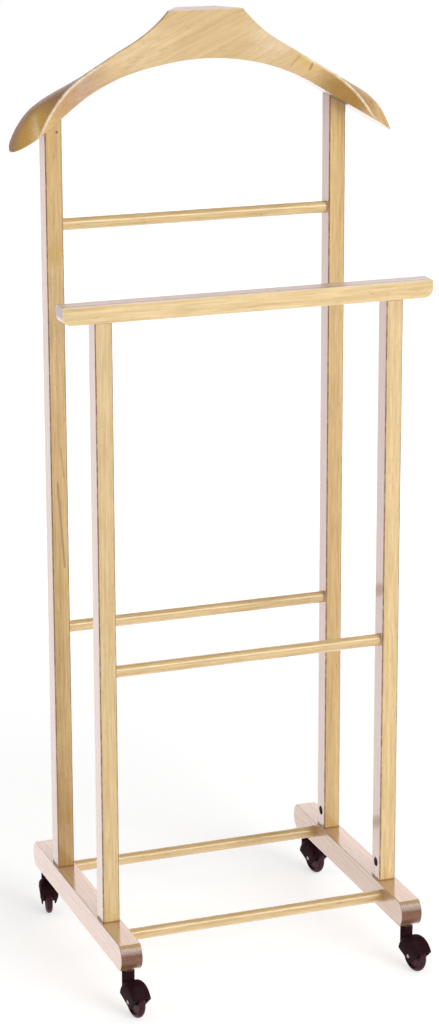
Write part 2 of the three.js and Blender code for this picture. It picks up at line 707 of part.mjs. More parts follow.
for (const [side, label] of [[-1, 'left'], [1, 'right']]) {
  const x = side * sideX;
  add(`foot_rail_${label}`, footRail(side), beech, x);
  add(`upright_rear_${label}`, rearUpright(side), beech, x, rearY);
  add(`upright_front_${label}`, frontUpright(side), beech, x, frontY);
  add(`hanger_pin_${label}`, pin(rearPinBottom, rearPinTop), pinWood, x, rearY);
  add(`bar_pin_${label}`, pin(frontPinBottom, frontPinTop), pinWood, x, frontY);
  for (const [y, place] of [[frontY, 'front'], [rearY, 'rear']]) {
    add(`foot_bolt_${place}_${label}`, footBolt(), darkSteel, x, y);
    add(`barrel_nut_${place}_${label}`, barrelNut(side), darkSteel, x, y);
  }
  for (const [y, place] of [[-stemY, 'front'], [stemY, 'rear']]) {
    const name = `${place}_${label}`;
    const caster = new THREE.Group();
    caster.position.set(x, y, 0);
    caster.rotation.z = THREE.MathUtils.degToRad(CASTER_HEADINGS[name]);
    stand.add(caster);
    add(`caster_socket_${name}`, casterSocket(), darkSteel, x, y);
    add(`caster_stem_${name}`, casterStem(), steel, 0, 0, 0, caster);
    add(`caster_fork_${name}`, casterFork(), plastic, 0, 0, 0, caster);
    add(`caster_wheel_${name}`, casterWheel(), tread, 0, 0, 0, caster);
    add(`caster_axle_${name}`, casterAxle(), steel, 0, 0, 0, caster);
  }
}

const uprightSpan = FRAME_WIDTH - UPRIGHT_WIDTH;
const railSpan = FRAME_WIDTH - RAIL_WIDTH;
add('hanger', hanger(), beech, 0, rearY);
add('front_bar', frontBar(), beech, 0, frontY);
add('rod_rear_upper', rod(uprightSpan), beech, 0, rearY, upperRodHeight);
add('rod_rear_lower', rod(uprightSpan), beech, 0, rearY, LOWER_ROD_HEIGHT);
add('rod_front_lower', rod(uprightSpan), beech, 0, frontY, LOWER_ROD_HEIGHT);
add('rod_base_rear', rod(railSpan), beech, 0, rearY + BASE_REAR_ROD_OFFSET, BASE_ROD_HEIGHT);
add('rod_base_front', rod(railSpan), beech, 0, frontY - BASE_FRONT_ROD_OFFSET, BASE_ROD_HEIGHT);

export default stand;
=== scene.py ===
"""Looks for a double valet stand: lacquered beech frames, a carved jacket hanger and hooded casters.

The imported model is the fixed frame, in metres. The boards, rods, hanger, hoods and wheels are built again
here at a finer grain in the same frame, and each piece rides on the body that carries it. The small
hardware keeps its own meshes and gets its finishes here.
"""

import json
import logging
import math
from dataclasses import dataclass, replace
from enum import Enum

import bmesh
import bpy
from mathutils import Matrix, Vector


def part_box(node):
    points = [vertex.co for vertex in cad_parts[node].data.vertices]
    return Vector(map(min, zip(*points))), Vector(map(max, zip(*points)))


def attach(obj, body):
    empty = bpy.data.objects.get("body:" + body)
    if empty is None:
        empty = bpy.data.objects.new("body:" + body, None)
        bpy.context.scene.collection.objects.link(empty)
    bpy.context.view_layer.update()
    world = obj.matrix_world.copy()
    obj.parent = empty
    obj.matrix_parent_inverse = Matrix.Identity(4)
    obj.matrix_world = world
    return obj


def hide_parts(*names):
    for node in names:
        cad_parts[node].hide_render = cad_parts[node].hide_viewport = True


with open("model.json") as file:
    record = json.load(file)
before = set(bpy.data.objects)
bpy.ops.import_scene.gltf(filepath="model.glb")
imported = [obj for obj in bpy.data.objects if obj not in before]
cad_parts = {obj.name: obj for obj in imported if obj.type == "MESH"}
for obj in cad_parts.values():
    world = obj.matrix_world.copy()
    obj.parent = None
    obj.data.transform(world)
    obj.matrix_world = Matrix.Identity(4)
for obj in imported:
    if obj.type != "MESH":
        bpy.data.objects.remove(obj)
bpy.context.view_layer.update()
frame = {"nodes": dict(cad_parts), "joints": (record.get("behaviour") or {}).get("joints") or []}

MM = 0.001
LOG = logging.getLogger("valet_stand")
# Most of a side that a round at its corner, or a point beside its corner, takes up.
FILLET_LIMIT = 0.4
BESIDE_LIMIT = 0.45

Point = tuple[float, float]
Place = tuple[float, float, float]
Colour = tuple[float, float, float]
Socket = bpy.types.NodeSocket


class Axis(Enum):
    """A direction of the row frame."""

    X = 0
    Y = 1
    Z = 2

    def place(self, along: float, u: float, v: float) -> Vector:
        """Puts a section point in space.

        Args:
            along: Position along this axis.
            u: First coordinate of the section.
            v: Second coordinate of the section.

        Returns:
            The point, with u and v on the two other axes in X, Y, Z order.
        """
        point = [u, v]
        point.insert(self.value, along)
        return Vector(point)

    def unit(self) -> Vector:
        """Returns the unit vector along this axis."""
        return self.place(1.0, 0.0, 0.0)


class Carving(Enum):
    """How one solid works on another."""

    CUT = "DIFFERENCE"
    JOIN = "UNION"
    KEEP = "INTERSECT"


class Side(Enum):
    """The left and right halves of the stand."""

    LEFT = -1
    RIGHT = 1

    @property
    def label(self) -> str:
        """The side's name as the nodes spell it."""
        return self.name.lower()


class Corner(Enum):
    """The four corners that carry a caster."""

    FRONT_LEFT = "front_left"
    FRONT_RIGHT = "front_right"
    REAR_LEFT = "rear_left"
    REAR_RIGHT = "rear_right"


def srgb(red: int, green: int, blue: int) -> Colour:
    """Turns a colour as it is seen on a screen into linear values.

    Args:
        red: Red, 0 to 255.
        green: Green, 0 to 255.
        blue: Blue, 0 to 255.

    Returns:
        The linear colour.
    """
    def linear(value: float) -> float:
        """Returns the linear value of one channel."""
        return value / 12.92 if value <= 0.04045 else ((value + 0.055) / 1.055) ** 2.4

    return (linear(red / 255), linear(green / 255), linear(blue / 255))


def smooth(value: float, start: float, end: float) -> float:
    """Returns a smooth step of value, 0 before start and 1 after end."""
    share = min(max((value - start) / (end - start), 0.0), 1.0)
    return share * share * (3 - 2 * share)


def arc(centre: Point, radius: float, start: float, end: float, steps: int) -> list[Point]:
    """Makes the points of an arc.

    Args:
        centre: Centre of the arc.
        radius: Radius in metres.
        start: First angle in degrees.
        end: Last angle in degrees.
        steps: Number of chords.

    Returns:
        The points from start to end.
    """
    angles = [math.radians(start + (end - start) * i / steps) for i in range(steps + 1)]
    return [(centre[0] + radius * math.cos(a), centre[1] + radius * math.sin(a)) for a in angles]


def fillet(before: Point, corner: Point, after: Point, radius: float, steps: int = 4) -> list[Point]:
    """Rounds one corner of an outline.

    Args:
        before: The point before the corner.
        corner: The corner itself.
        after: The point after the corner.
        radius: How far the round reaches along each side, at most.
        steps: Number of chords.

    Returns:
        The points that stand for the corner.
    """
    corner_v = Vector(corner)
    to_before = Vector(before) - corner_v
    to_after = Vector(after) - corner_v
    reach = min(radius, FILLET_LIMIT * to_before.length, FILLET_LIMIT * to_after.length)
    start = corner_v + to_before.normalized() * reach
    end = corner_v + to_after.normalized() * reach
    shares = [i / steps for i in range(steps + 1)]
    points = [start * (1 - t) ** 2 + corner_v * 2 * t * (1 - t) + end * t * t for t in shares]
    return [(p.x, p.y) for p in points]


def beside(corner: Point, other: Point, distance: float) -> Point:
    """Finds the point of a side that lies near its corner.

    Args:
        corner: The corner.
        other: The other end of the side.
        distance: Wanted distance from the corner, held to less than half the side.

    Returns:
        The point.
    """
    length = math.dist(corner, other)
    share = min(distance / length, BESIDE_LIMIT)
    return corner[0] + share * (other[0] - corner[0]), corner[1] + share * (other[1] - corner[1])


def held(data: bpy.types.ID, name: str = "holder") -> bpy.types.Object:
    """Puts a mesh, lamp or camera in the scene.

    Args:
        data: What the object holds.
        name: The object's name.

    Returns:
        The new object.
    """
    made = bpy.data.objects.new(name, data)
    bpy.context.scene.collection.objects.link(made)
    return made


class Joinery:
    """Makes closed meshes out of outlines and profiles, and works them on each other."""

    # Points nearer to each other or to an axis than this, in metres, are one point.
    SAME = 1e-7

    def __init__(self) -> None:
        """Starts the count that names the working meshes."""
        self.count = 0

    def mesh(self, built: bmesh.types.BMesh) -> bpy.types.Mesh:
        """Writes a closed bmesh to a new mesh with its faces pointing out.

        Args:
            built: The bmesh, which is freed.

        Returns:
            The new mesh.
        """
        bmesh.ops.recalc_face_normals(built, faces=built.faces)
        self.count += 1
        made = bpy.data.meshes.new(f"blank_{self.count}")
        built.to_mesh(made)
        built.free()
        return made

    def prism(self, outline: list[Point], axis: Axis, start: float, end: float) -> bpy.types.Mesh:
        """Pushes an outline along an axis.

        Args:
            outline: Points round the section.
            axis: The direction of the push.
            start: Where it starts along the axis.
            end: Where it ends.

        Returns:
            The closed mesh.
        """
        built = bmesh.new()
        rings = [[built.verts.new(axis.place(at, u, v)) for u, v in outline] for at in (start, end)]
        built.faces.new(rings[0])
        built.faces.new(rings[1])
        for i in range(len(outline)):
            j = (i + 1) % len(outline)
            built.faces.new((rings[0][i], rings[0][j], rings[1][j], rings[1][i]))
        return self.mesh(built)

    def turned(self, profile: list[Point], axis: Axis, centre: Vector, steps: int) -> bpy.types.Mesh:
        """Turns a profile about an axis.

        Args:
            profile: Pairs of radius and place along the axis, from axis to axis or closed on itself.
            axis: The axis of the lathe.
            centre: A point on it, from which the places along it are counted.
            steps: Number of facets round it.

        Returns:
            The closed mesh.
        """
        built = bmesh.new()
        rings = []
        for radius, along in profile:
            count = steps if radius > self.SAME else 1
            turns = [2 * math.pi * i / steps for i in range(count)]
            ring = [centre + axis.place(along, radius * math.cos(t), radius * math.sin(t)) for t in turns]
            rings.append([built.verts.new(point) for point in ring])
        for first, second in zip(rings, rings[1:]):
            for i in range(steps):
                j = (i + 1) % steps
                loop = [first[i % len(first)], first[j % len(first)], second[j % len(second)],
                        second[i % len(second)]]
                built.faces.new(list(dict.fromkeys(loop)))
        bmesh.ops.remove_doubles(built, verts=built.verts, dist=self.SAME)
        return self.mesh(built)

    def drill(self, axis: Axis, centre: Vector, radius: float, start: float, end: float,
              steps: int = 48) -> bpy.types.Mesh:
        """Makes a plain round body along an axis.

        Args:
            axis: The axis.
            centre: A point on it, from which the ends are counted.
            radius: Radius of the body.
            start: Place of one end along the axis.
            end: Place of the other.
            steps: Number of facets round it.

        Returns:
            The closed mesh.
        """
        profile = [(0.0, start), (radius, start), (radius, end), (0.0, end)]
        return self.turned(profile, axis, centre, steps)

    def block(self, low: Vector, high: Vector) -> bpy.types.Mesh:
        """Returns a box from its low corner to its high corner."""
        outline = [(low.y, low.z), (high.y, low.z), (high.y, high.z), (low.y, high.z)]
        return self.prism(outline, Axis.X, low.x, high.x)

    def work(self, body: bpy.types.Mesh, tool: bpy.types.Mesh, carving: Carving) -> bpy.types.Mesh:
        """Cuts, joins or intersects two closed meshes.

        Args:
            body: The mesh that is worked on.
            tool: The mesh that works on it.
            carving: What is done.

        Returns:
            The new mesh.
        """
        holder = held(body)
        cutter = held(tool, "cutter")
        modifier = holder.modifiers.new("carve", "BOOLEAN")
        modifier.operation = carving.value
        modifier.solver = "EXACT"
        modifier.object = cutter
        graph = bpy.context.evaluated_depsgraph_get()
        made = bpy.data.meshes.new_from_object(holder.evaluated_get(graph))
        bpy.data.objects.remove(holder)
        bpy.data.objects.remove(cutter)
        return made

    def soften(self, body: bpy.types.Mesh, width: float, steps: int = 2,
               angle: float = 40.0) -> bpy.types.Mesh:
        """Rounds the sharp edges and marks the rounds in the "edge" attribute.

        Args:
            body: The mesh, which is changed.
            width: Width of the round in metres.
            steps: Number of facets across it.
            angle: Edges sharper than this, in degrees, are rounded.

        Returns:
            The same mesh.
        """
        built = bmesh.new()
        built.from_mesh(body)
        limit = math.radians(angle)
        sharp = [e for e in built.edges if len(e.link_faces) == 2 and e.calc_face_angle(0.0) > limit]
        layer = built.faces.layers.float.new("edge")
        made = bmesh.ops.bevel(built, geom=sharp, offset=width, offset_type="OFFSET", segments=steps,
                               profile=0.5, affect="EDGES", clamp_overlap=False)
        for face in made["faces"]:
            face[layer] = 1.0
        built.to_mesh(body)
        built.free()
        return body


WORKSHOP = Joinery()


class NodeSketch:
    """Adds and links the nodes of one tree, laid out from left to right.

    Every value that a method takes may be a socket or a plain number, and every result is a socket.
    """

    COLUMN_WIDTH = 190
    ROW_HEIGHT = 130
    ROWS = 4

    def __init__(self, tree: bpy.types.NodeTree) -> None:
        """Keeps the tree that is drawn on."""
        self.tree = tree
        self.column = 0

    def add(self, kind: str, *values: object, **settings: object) -> bpy.types.Node:
        """Adds a node.

        Args:
            kind: The node's type name.
            *values: Sockets or plain values for its first inputs, in order.
            **settings: Properties of the node.

        Returns:
            The node.
        """
        node = self.tree.nodes.new(kind)
        node.location = (self.column * self.COLUMN_WIDTH, -(self.column % self.ROWS) * self.ROW_HEIGHT)
        self.column += 1
        for name, value in settings.items():
            setattr(node, name, value)
        for socket, value in zip(node.inputs, values):
            self.feed(socket, value)
        return node

    def feed(self, socket: Socket, value: object) -> None:
        """Links a socket to an input, or sets the input to a plain value."""
        if isinstance(value, Socket):
            self.tree.links.new(value, socket)
        else:
            socket.default_value = value

    def fit(self, node: bpy.types.Node, values: dict[str, object]) -> None:
        """Feeds the inputs of a node by their names."""
        for label, value in values.items():
            self.feed(node.inputs[label], value)

    def use(self, group: bpy.types.NodeTree, **values: object) -> bpy.types.Node:
        """Places a shared group.

        Args:
            group: The shared group.
            **values: Its inputs, with underscores for spaces.

        Returns:
            The group's node.
        """
        node = self.add("ShaderNodeGroup", node_tree=group)
        self.fit(node, {label.replace("_", " "): value for label, value in values.items()})
        return node

    def maths(self, operation: str, first: object, second: object = 0.0, clamp: bool = False) -> Socket:
        """Works on two values.

        Args:
            operation: The Math node's operation.
            first: The first value.
            second: The second value.
            clamp: Whether the result is held between 0 and 1.

        Returns:
            The result.
        """
        return self.add("ShaderNodeMath", first, second, operation=operation, use_clamp=clamp).outputs[0]

    def plus(self, first: object, second: object, clamp: bool = False) -> Socket:
        """Returns the sum of two values."""
        return self.maths("ADD", first, second, clamp)

    def minus(self, first: object, second: object) -> Socket:
        """Returns the first value less the second."""
        return self.maths("SUBTRACT", first, second)

    def times(self, first: object, second: object, clamp: bool = False) -> Socket:
        """Returns the product of two values."""
        return self.maths("MULTIPLY", first, second, clamp)

    def remap(self, value: object, low: object, high: object, to_low: object = 0.0, to_high: object = 1.0,
              smoothly: bool = False) -> Socket:
        """Maps a value from one range to another and holds it there.

        Args:
            value: The value.
            low: Start of the range that it comes from.
            high: End of that range.
            to_low: What it becomes at the start.
            to_high: What it becomes at the end.
            smoothly: Whether it leaves and reaches both ends gently.

        Returns:
            The mapped value.
        """
        kind = "SMOOTHSTEP" if smoothly else "LINEAR"
        node = self.add("ShaderNodeMapRange", value, low, high, to_low, to_high, interpolation_type=kind)
        return node.outputs[0]

    def blend(self, share: object, first: object, second: object, kind: str = "MIX") -> Socket:
        """Mixes two colours.

        Args:
            share: How much of the second there is.
            first: The first colour.
            second: The second colour.
            kind: The Mix node's blend type.

        Returns:
            The mixed colour.
        """
        node = self.add("ShaderNodeMix", share, data_type="RGBA", blend_type=kind)
        for socket, value in ((node.inputs[6], first), (node.inputs[7], second)):
            self.feed(socket, value if isinstance(value, Socket) else (*value, 1.0))
        return node.outputs[2]

    def toned(self, colour: object, tone: object) -> Socket:
        """Returns a colour multiplied by a value."""
        grey = self.add("ShaderNodeCombineColor", tone, tone, tone).outputs[0]
        return self.blend(1.0, colour, grey, "MULTIPLY")

    def noise(self, vector: object, scale: object, detail: float = 3.0, rough: float = 0.55) -> Socket:
        """Makes a noise.

        Args:
            vector: Where it is asked for.
            scale: How fine it is.
            detail: Its number of octaves.
            rough: Weight of the finer octaves.

        Returns:
            The noise, from 0 to 1.
        """
        node = self.add("ShaderNodeTexNoise")
        self.fit(node, {"Vector": vector, "Scale": scale, "Detail": detail, "Roughness": rough})
        return node.outputs["Fac"]

    def split(self, vector: object) -> tuple[Socket, Socket, Socket]:
        """Returns a vector's X, Y and Z."""
        return tuple(self.add("ShaderNodeSeparateXYZ", vector).outputs)

    def work(self, operation: str, first: object, second: object) -> bpy.types.Node:
        """Returns the node that works on two vectors by an operation of the Vector Math node."""
        return self.add("ShaderNodeVectorMath", first, second, operation=operation)

    def stretched(self, vector: object, along: object, across: object) -> Socket:
        """Returns a vector scaled by one value along X and by another across it."""
        scale = self.add("ShaderNodeCombineXYZ", along, across, across).outputs[0]
        return self.work("MULTIPLY", vector, scale).outputs[0]

    def along(self, normal: object, direction: Vector) -> Socket:
        """Returns how squarely a normal points in a direction, from -1 to 1."""
        return self.work("DOT_PRODUCT", normal, direction).outputs["Value"]

    def facing(self, normal: object, axis: Axis) -> Socket:
        """Returns how squarely a normal lies along an axis, either way, from 0 to 1."""
        return self.maths("ABSOLUTE", self.along(normal, axis.unit()))


class GroupSketch(NodeSketch):
    """Draws one shader node group.

    Attributes:
        given: The group's inputs, as sockets to draw from.
        result: Its outputs, as sockets to feed.
    """

    def __init__(self, name: str, inputs: dict[str, float | None], outputs: list[str]) -> None:
        """Starts the group.

        Args:
            name: The group's name.
            inputs: Each input's name and its default, a number or None for a vector.
            outputs: Names of the outputs, which are all values.
        """
        super().__init__(bpy.data.node_groups.new(name, "ShaderNodeTree"))
        for label, default in inputs.items():
            kind = "NodeSocketVector" if default is None else "NodeSocketFloat"
            socket = self.tree.interface.new_socket(name=label, in_out="INPUT", socket_type=kind)
            if default is not None:
                socket.default_value = default
        for label in outputs:
            self.tree.interface.new_socket(name=label, in_out="OUTPUT", socket_type="NodeSocketFloat")
        self.given = self.add("NodeGroupInput").outputs
        self.result = self.add("NodeGroupOutput").inputs

    def close(self, *values: object) -> bpy.types.NodeTree:
        """Feeds the outputs in their order and returns the group."""
        for socket, value in zip(self.result, values):
            self.feed(socket, value)
        return self.tree


def beech_grain_group(warp: float = 5 * MM, limit: float = 0.77,
                      contrast: float = 12.0) -> bpy.types.NodeTree:
    """Makes the grain of beech along X: broad bands, fine streaks and short dark flecks.

    Args:
        warp: How far the grain is bent, in metres.
        limit: The noise over which there are flecks, where they are rarest.
        contrast: How sharply a fleck begins.

    Returns:
        The node group.
    """
    sketch = GroupSketch("Beech grain", {"Vector": None, "Fleck Density": 0.5},
                         ["Bands", "Streaks", "Flecks", "Height"])

    def ripple(vector: Socket, along: float, across: float, detail: float, rough: float = 0.6) -> Socket:
        """Returns a noise that is stretched along the grain."""
        return sketch.noise(sketch.stretched(vector, along, across), 1.0, detail, rough)

    vector = sketch.given["Vector"]
    drift = sketch.times(sketch.minus(ripple(vector, 4.0, 16.0, 2.0, 0.55), 0.5), warp)
    offset = sketch.add("ShaderNodeCombineXYZ", 0.0, drift, drift).outputs[0]
    warped = sketch.work("ADD", vector, offset).outputs[0]
    clouds = sketch.remap(ripple(vector, 28.0, 70.0, 3.0), 0.3, 0.7)
    bands = sketch.blend(0.3, sketch.remap(ripple(warped, 1.8, 230.0, 4.0), 0.3, 0.7), clouds)
    streaks = sketch.remap(ripple(warped, 22.0, 480.0, 4.0, 0.66), 0.3, 0.68)
    over = sketch.minus(ripple(warped, 100.0, 820.0, 2.0, 0.45),
                        sketch.minus(limit, sketch.times(sketch.given["Fleck Density"], 0.22)))
    flecks = sketch.times(over, contrast, clamp=True)
    height = sketch.minus(sketch.times(streaks, 0.5), sketch.times(flecks, 0.6))
    return sketch.close(bands, streaks, flecks, height)


def end_grain_group(pores: float = 1500.0) -> bpy.types.NodeTree:
    """Makes the mask and the pores of wood that is cut across its grain.

    Args:
        pores: How fine the pores are.

    Returns:
        The node group.
    """
    sketch = GroupSketch("End grain", {"Facing": 0.0, "Vector": None, "From": 0.45, "To": 0.95},
                         ["Mask", "Pores"])
    given = sketch.given
    mask = sketch.remap(given["Facing"], given["From"], given["To"], smoothly=True)
    return sketch.close(mask, sketch.remap(sketch.noise(given["Vector"], pores, 2.0), 0.35, 0.65))


def edge_wear_and_light_group(least: float = 0.45) -> bpy.types.NodeTree:
    """Makes the broken line along rounded edges: wear on the plastics, painted shade and painted highlight on
    the wood.

    Args:
        least: How much of the line is left where it is faintest.

    Returns:
        The node group.
    """
    sketch = GroupSketch("Worn edge", {"Edge": 0.0, "Vector": None, "Scale": 120.0, "Amount": 0.6}, ["Mask"])
    given = sketch.given
    patches = sketch.remap(sketch.noise(given["Vector"], given["Scale"], 2.0, 0.5), 0.3, 0.6, least, 1.0)
    line = sketch.times(given["Edge"], patches, clamp=True)
    return sketch.close(sketch.times(line, given["Amount"], clamp=True))


def scuff_group(scuffs: float = 160.0, dust: float = 70.0, skin: float = 2600.0) -> bpy.types.NodeTree:
    """Makes the fine scuffs and moulded skin of plastic, and the brushing of metal.

    Args:
        scuffs: How fine the scuffs are along X.
        dust: How fine the patches of dust are.
        skin: How fine the skin is.

    Returns:
        The node group.
    """
    sketch = GroupSketch("Scuffs", {"Vector": None, "Stretch": 6.0}, ["Scuffs", "Dust", "Height"])
    vector = sketch.given["Vector"]
    lines = sketch.stretched(vector, scuffs, sketch.times(sketch.given["Stretch"], scuffs))
    return sketch.close(sketch.remap(sketch.noise(lines, 1.0, 3.0, 0.7), 0.45, 0.7),
                        sketch.remap(sketch.noise(vector, dust), 0.42, 0.75),
                        sketch.noise(vector, skin, 2.0, 0.5))


class FinishRoom:
    """Holds the node groups that the finishes share, each built once."""

    def __init__(self) -> None:
        """Builds the groups."""
        self.grain = beech_grain_group()
        self.end_grain = end_grain_group()
        self.edge_wear_and_light = edge_wear_and_light_group()
        self.scuffs = scuff_group()


FINISHES = FinishRoom()


def start_material(name: str) -> tuple[bpy.types.Material, NodeSketch, bpy.types.Node]:
    """Starts a material with one Principled shader.

    Args:
        name: The material's name.

    Returns:
        The material, its sketch and its shader.
    """
    material = bpy.data.materials.new(name)
    material.use_nodes = True
    material.node_tree.nodes.clear()
    sketch = NodeSketch(material.node_tree)
    output = sketch.add("ShaderNodeOutputMaterial")
    shader = sketch.add("ShaderNodeBsdfPrincipled")
    material.node_tree.links.new(shader.outputs[0], output.inputs[0])
    return material, sketch, shader


def edge_value(sketch: NodeSketch) -> Socket:
    """Returns the mesh's own mark of its rounded edges."""
    return sketch.add("ShaderNodeAttribute", attribute_name="edge").outputs["Fac"]


def add_bump(sketch: NodeSketch, shader: bpy.types.Node, height: object, strength: float,
             depth: float) -> None:
    """Gives a shader its surface relief.

    Args:
        sketch: The material's sketch.
        shader: The shader that is given relief.
        height: The height socket.
        strength: Strength of the relief.
        depth: Depth in metres.
    """
    bump = sketch.add("ShaderNodeBump")
    sketch.fit(bump, {"Strength": strength, "Distance": depth, "Height": height})
    sketch.feed(shader.inputs["Normal"], bump.outputs[0])


# The paler wood of the front frame's boards and of the rods, at its lightest and its darkest.
BLOND = srgb(248, 219, 162)
BLOND_DEEP = srgb(196, 160, 96)
# How far the grain is shifted by each step of a finish's seed, in metres.
SEED_SHIFT = (0.731, 0.217, 0.119)


@dataclass(frozen=True)
class Surface:
    """The surface that a finish colours.

    Attributes:
        place: Object coordinates of a point on it.
        normal: The normal there.
        at: The point's coordinate along each axis.
        ragged: A noise that breaks up the rims of patches.
    """

    place: Socket
    normal: Socket
    at: dict[Axis, Socket]
    ragged: Socket

    @classmethod
    def of(cls, sketch: NodeSketch) -> "Surface":
        """Returns the surface that a material's sketch works on."""
        place = sketch.add("ShaderNodeTexCoord").outputs["Object"]
        normal = sketch.add("ShaderNodeNewGeometry").outputs["Normal"]
        ragged = sketch.remap(sketch.noise(place, 26.0), 0.3, 0.7, -0.22, 0.22)
        return cls(place, normal, dict(zip(Axis, sketch.split(place))), ragged)


@dataclass(frozen=True)
class Seam:
    """A glued joint across a board, seen as a thin dark line that fades downwards.

    Attributes:
        place: Position along the grain where the line crosses the reference height.
        height: The reference height.
        slant: Change of place with height.
        fade: Height under which the line is gone.
        width: Half the width of the line.
        share: How dark it is.
        across: The axis that the place is measured along.
        top: Height over which it is gone.
        blur: Where the line has faded out sideways, in times its half width.
        fade_range: Height over which it fades in from below.
        top_range: Height over which it fades out at the top.
    """

    place: float
    height: float
    slant: float
    fade: float
    width: float = 0.5 * MM
    share: float = 0.5
    across: Axis = Axis.X
    top: float = 10.0
    blur: float = 2.4
    fade_range: float = 4 * MM
    top_range: float = 8 * MM

    def mask(self, sketch: NodeSketch, surface: Surface) -> Socket:
        """Returns how dark the line is at each point."""
        z = surface.at[Axis.Z]
        lean = sketch.times(sketch.minus(z, self.height), self.slant)
        along = sketch.minus(sketch.minus(surface.at[self.across], self.place), lean)
        away = sketch.maths("ABSOLUTE", along)
        line = sketch.remap(away, self.width, self.blur * self.width, self.share, 0.0, smoothly=True)
        above = sketch.remap(z, self.fade, self.fade + self.fade_range, smoothly=True)
        below = sketch.remap(z, self.top - self.top_range, self.top, 1.0, 0.0, smoothly=True)
        return sketch.times(sketch.times(line, above), below)


@dataclass(frozen=True)
class FacingLightPaint:
    """Painted light and shade: a colour painted where the wood turns towards a direction.

    Attributes:
        direction: The direction.
        start: How squarely the wood faces it where the change begins.
        end: How squarely it faces it where the change is complete.
        colour: The painted colour there.
        share: How much of that colour there is.
    """

    direction: Place
    start: float
    end: float
    colour: Colour
    share: float

    def mask(self, sketch: NodeSketch, surface: Surface) -> Socket:
        """Returns how much of the colour there is at each point."""
        facing = sketch.along(surface.normal, Vector(self.direction).normalized())
        return sketch.remap(facing, self.start, self.end, 0.0, self.share, smoothly=True)


@dataclass(frozen=True)
class Knot:
    """A small dark knot, or the painted shade in and round a drilled hole.

    Attributes:
        place: Its centre.
        radius: Its radius.
        core: Share of the radius that is fully dark.
        share: How dark it is.
    """

    place: Place
    radius: float
    core: float = 0.3
    share: float = 0.75

    def mask(self, sketch: NodeSketch, surface: Surface) -> Socket:
        """Returns how dark the knot is at each point."""
        gap = sketch.work("DISTANCE", surface.place, self.place).outputs["Value"]
        return sketch.remap(gap, self.core * self.radius, self.radius, self.share, 0.0, smoothly=True)


@dataclass(frozen=True)
class ToneAndLightPatch:
    """A broad patch painted in another tone, standing for the wood's own tone and for painted shade and sheen.

    Attributes:
        place: Its centre in X and Z.
        reach: Half its size in X and Z.
        factor: What it multiplies the colour by.
        core: Share of its size that has the full tone.
    """

    place: Point
    reach: Point
    factor: Colour
    core: float = 0.25

    def mask(self, sketch: NodeSketch, surface: Surface) -> Socket:
        """Returns how much of the tone there is at each point."""
        squares = []
        for axis, place, reach in zip((Axis.X, Axis.Z), self.place, self.reach):
            away = sketch.maths("DIVIDE", sketch.minus(surface.at[axis], place), reach)
            squares.append(sketch.times(away, away))
        far = sketch.plus(sketch.maths("SQRT", sketch.plus(*squares)), surface.ragged)
        return sketch.remap(far, self.core, 1.0, 1.0, 0.0, smoothly=True)


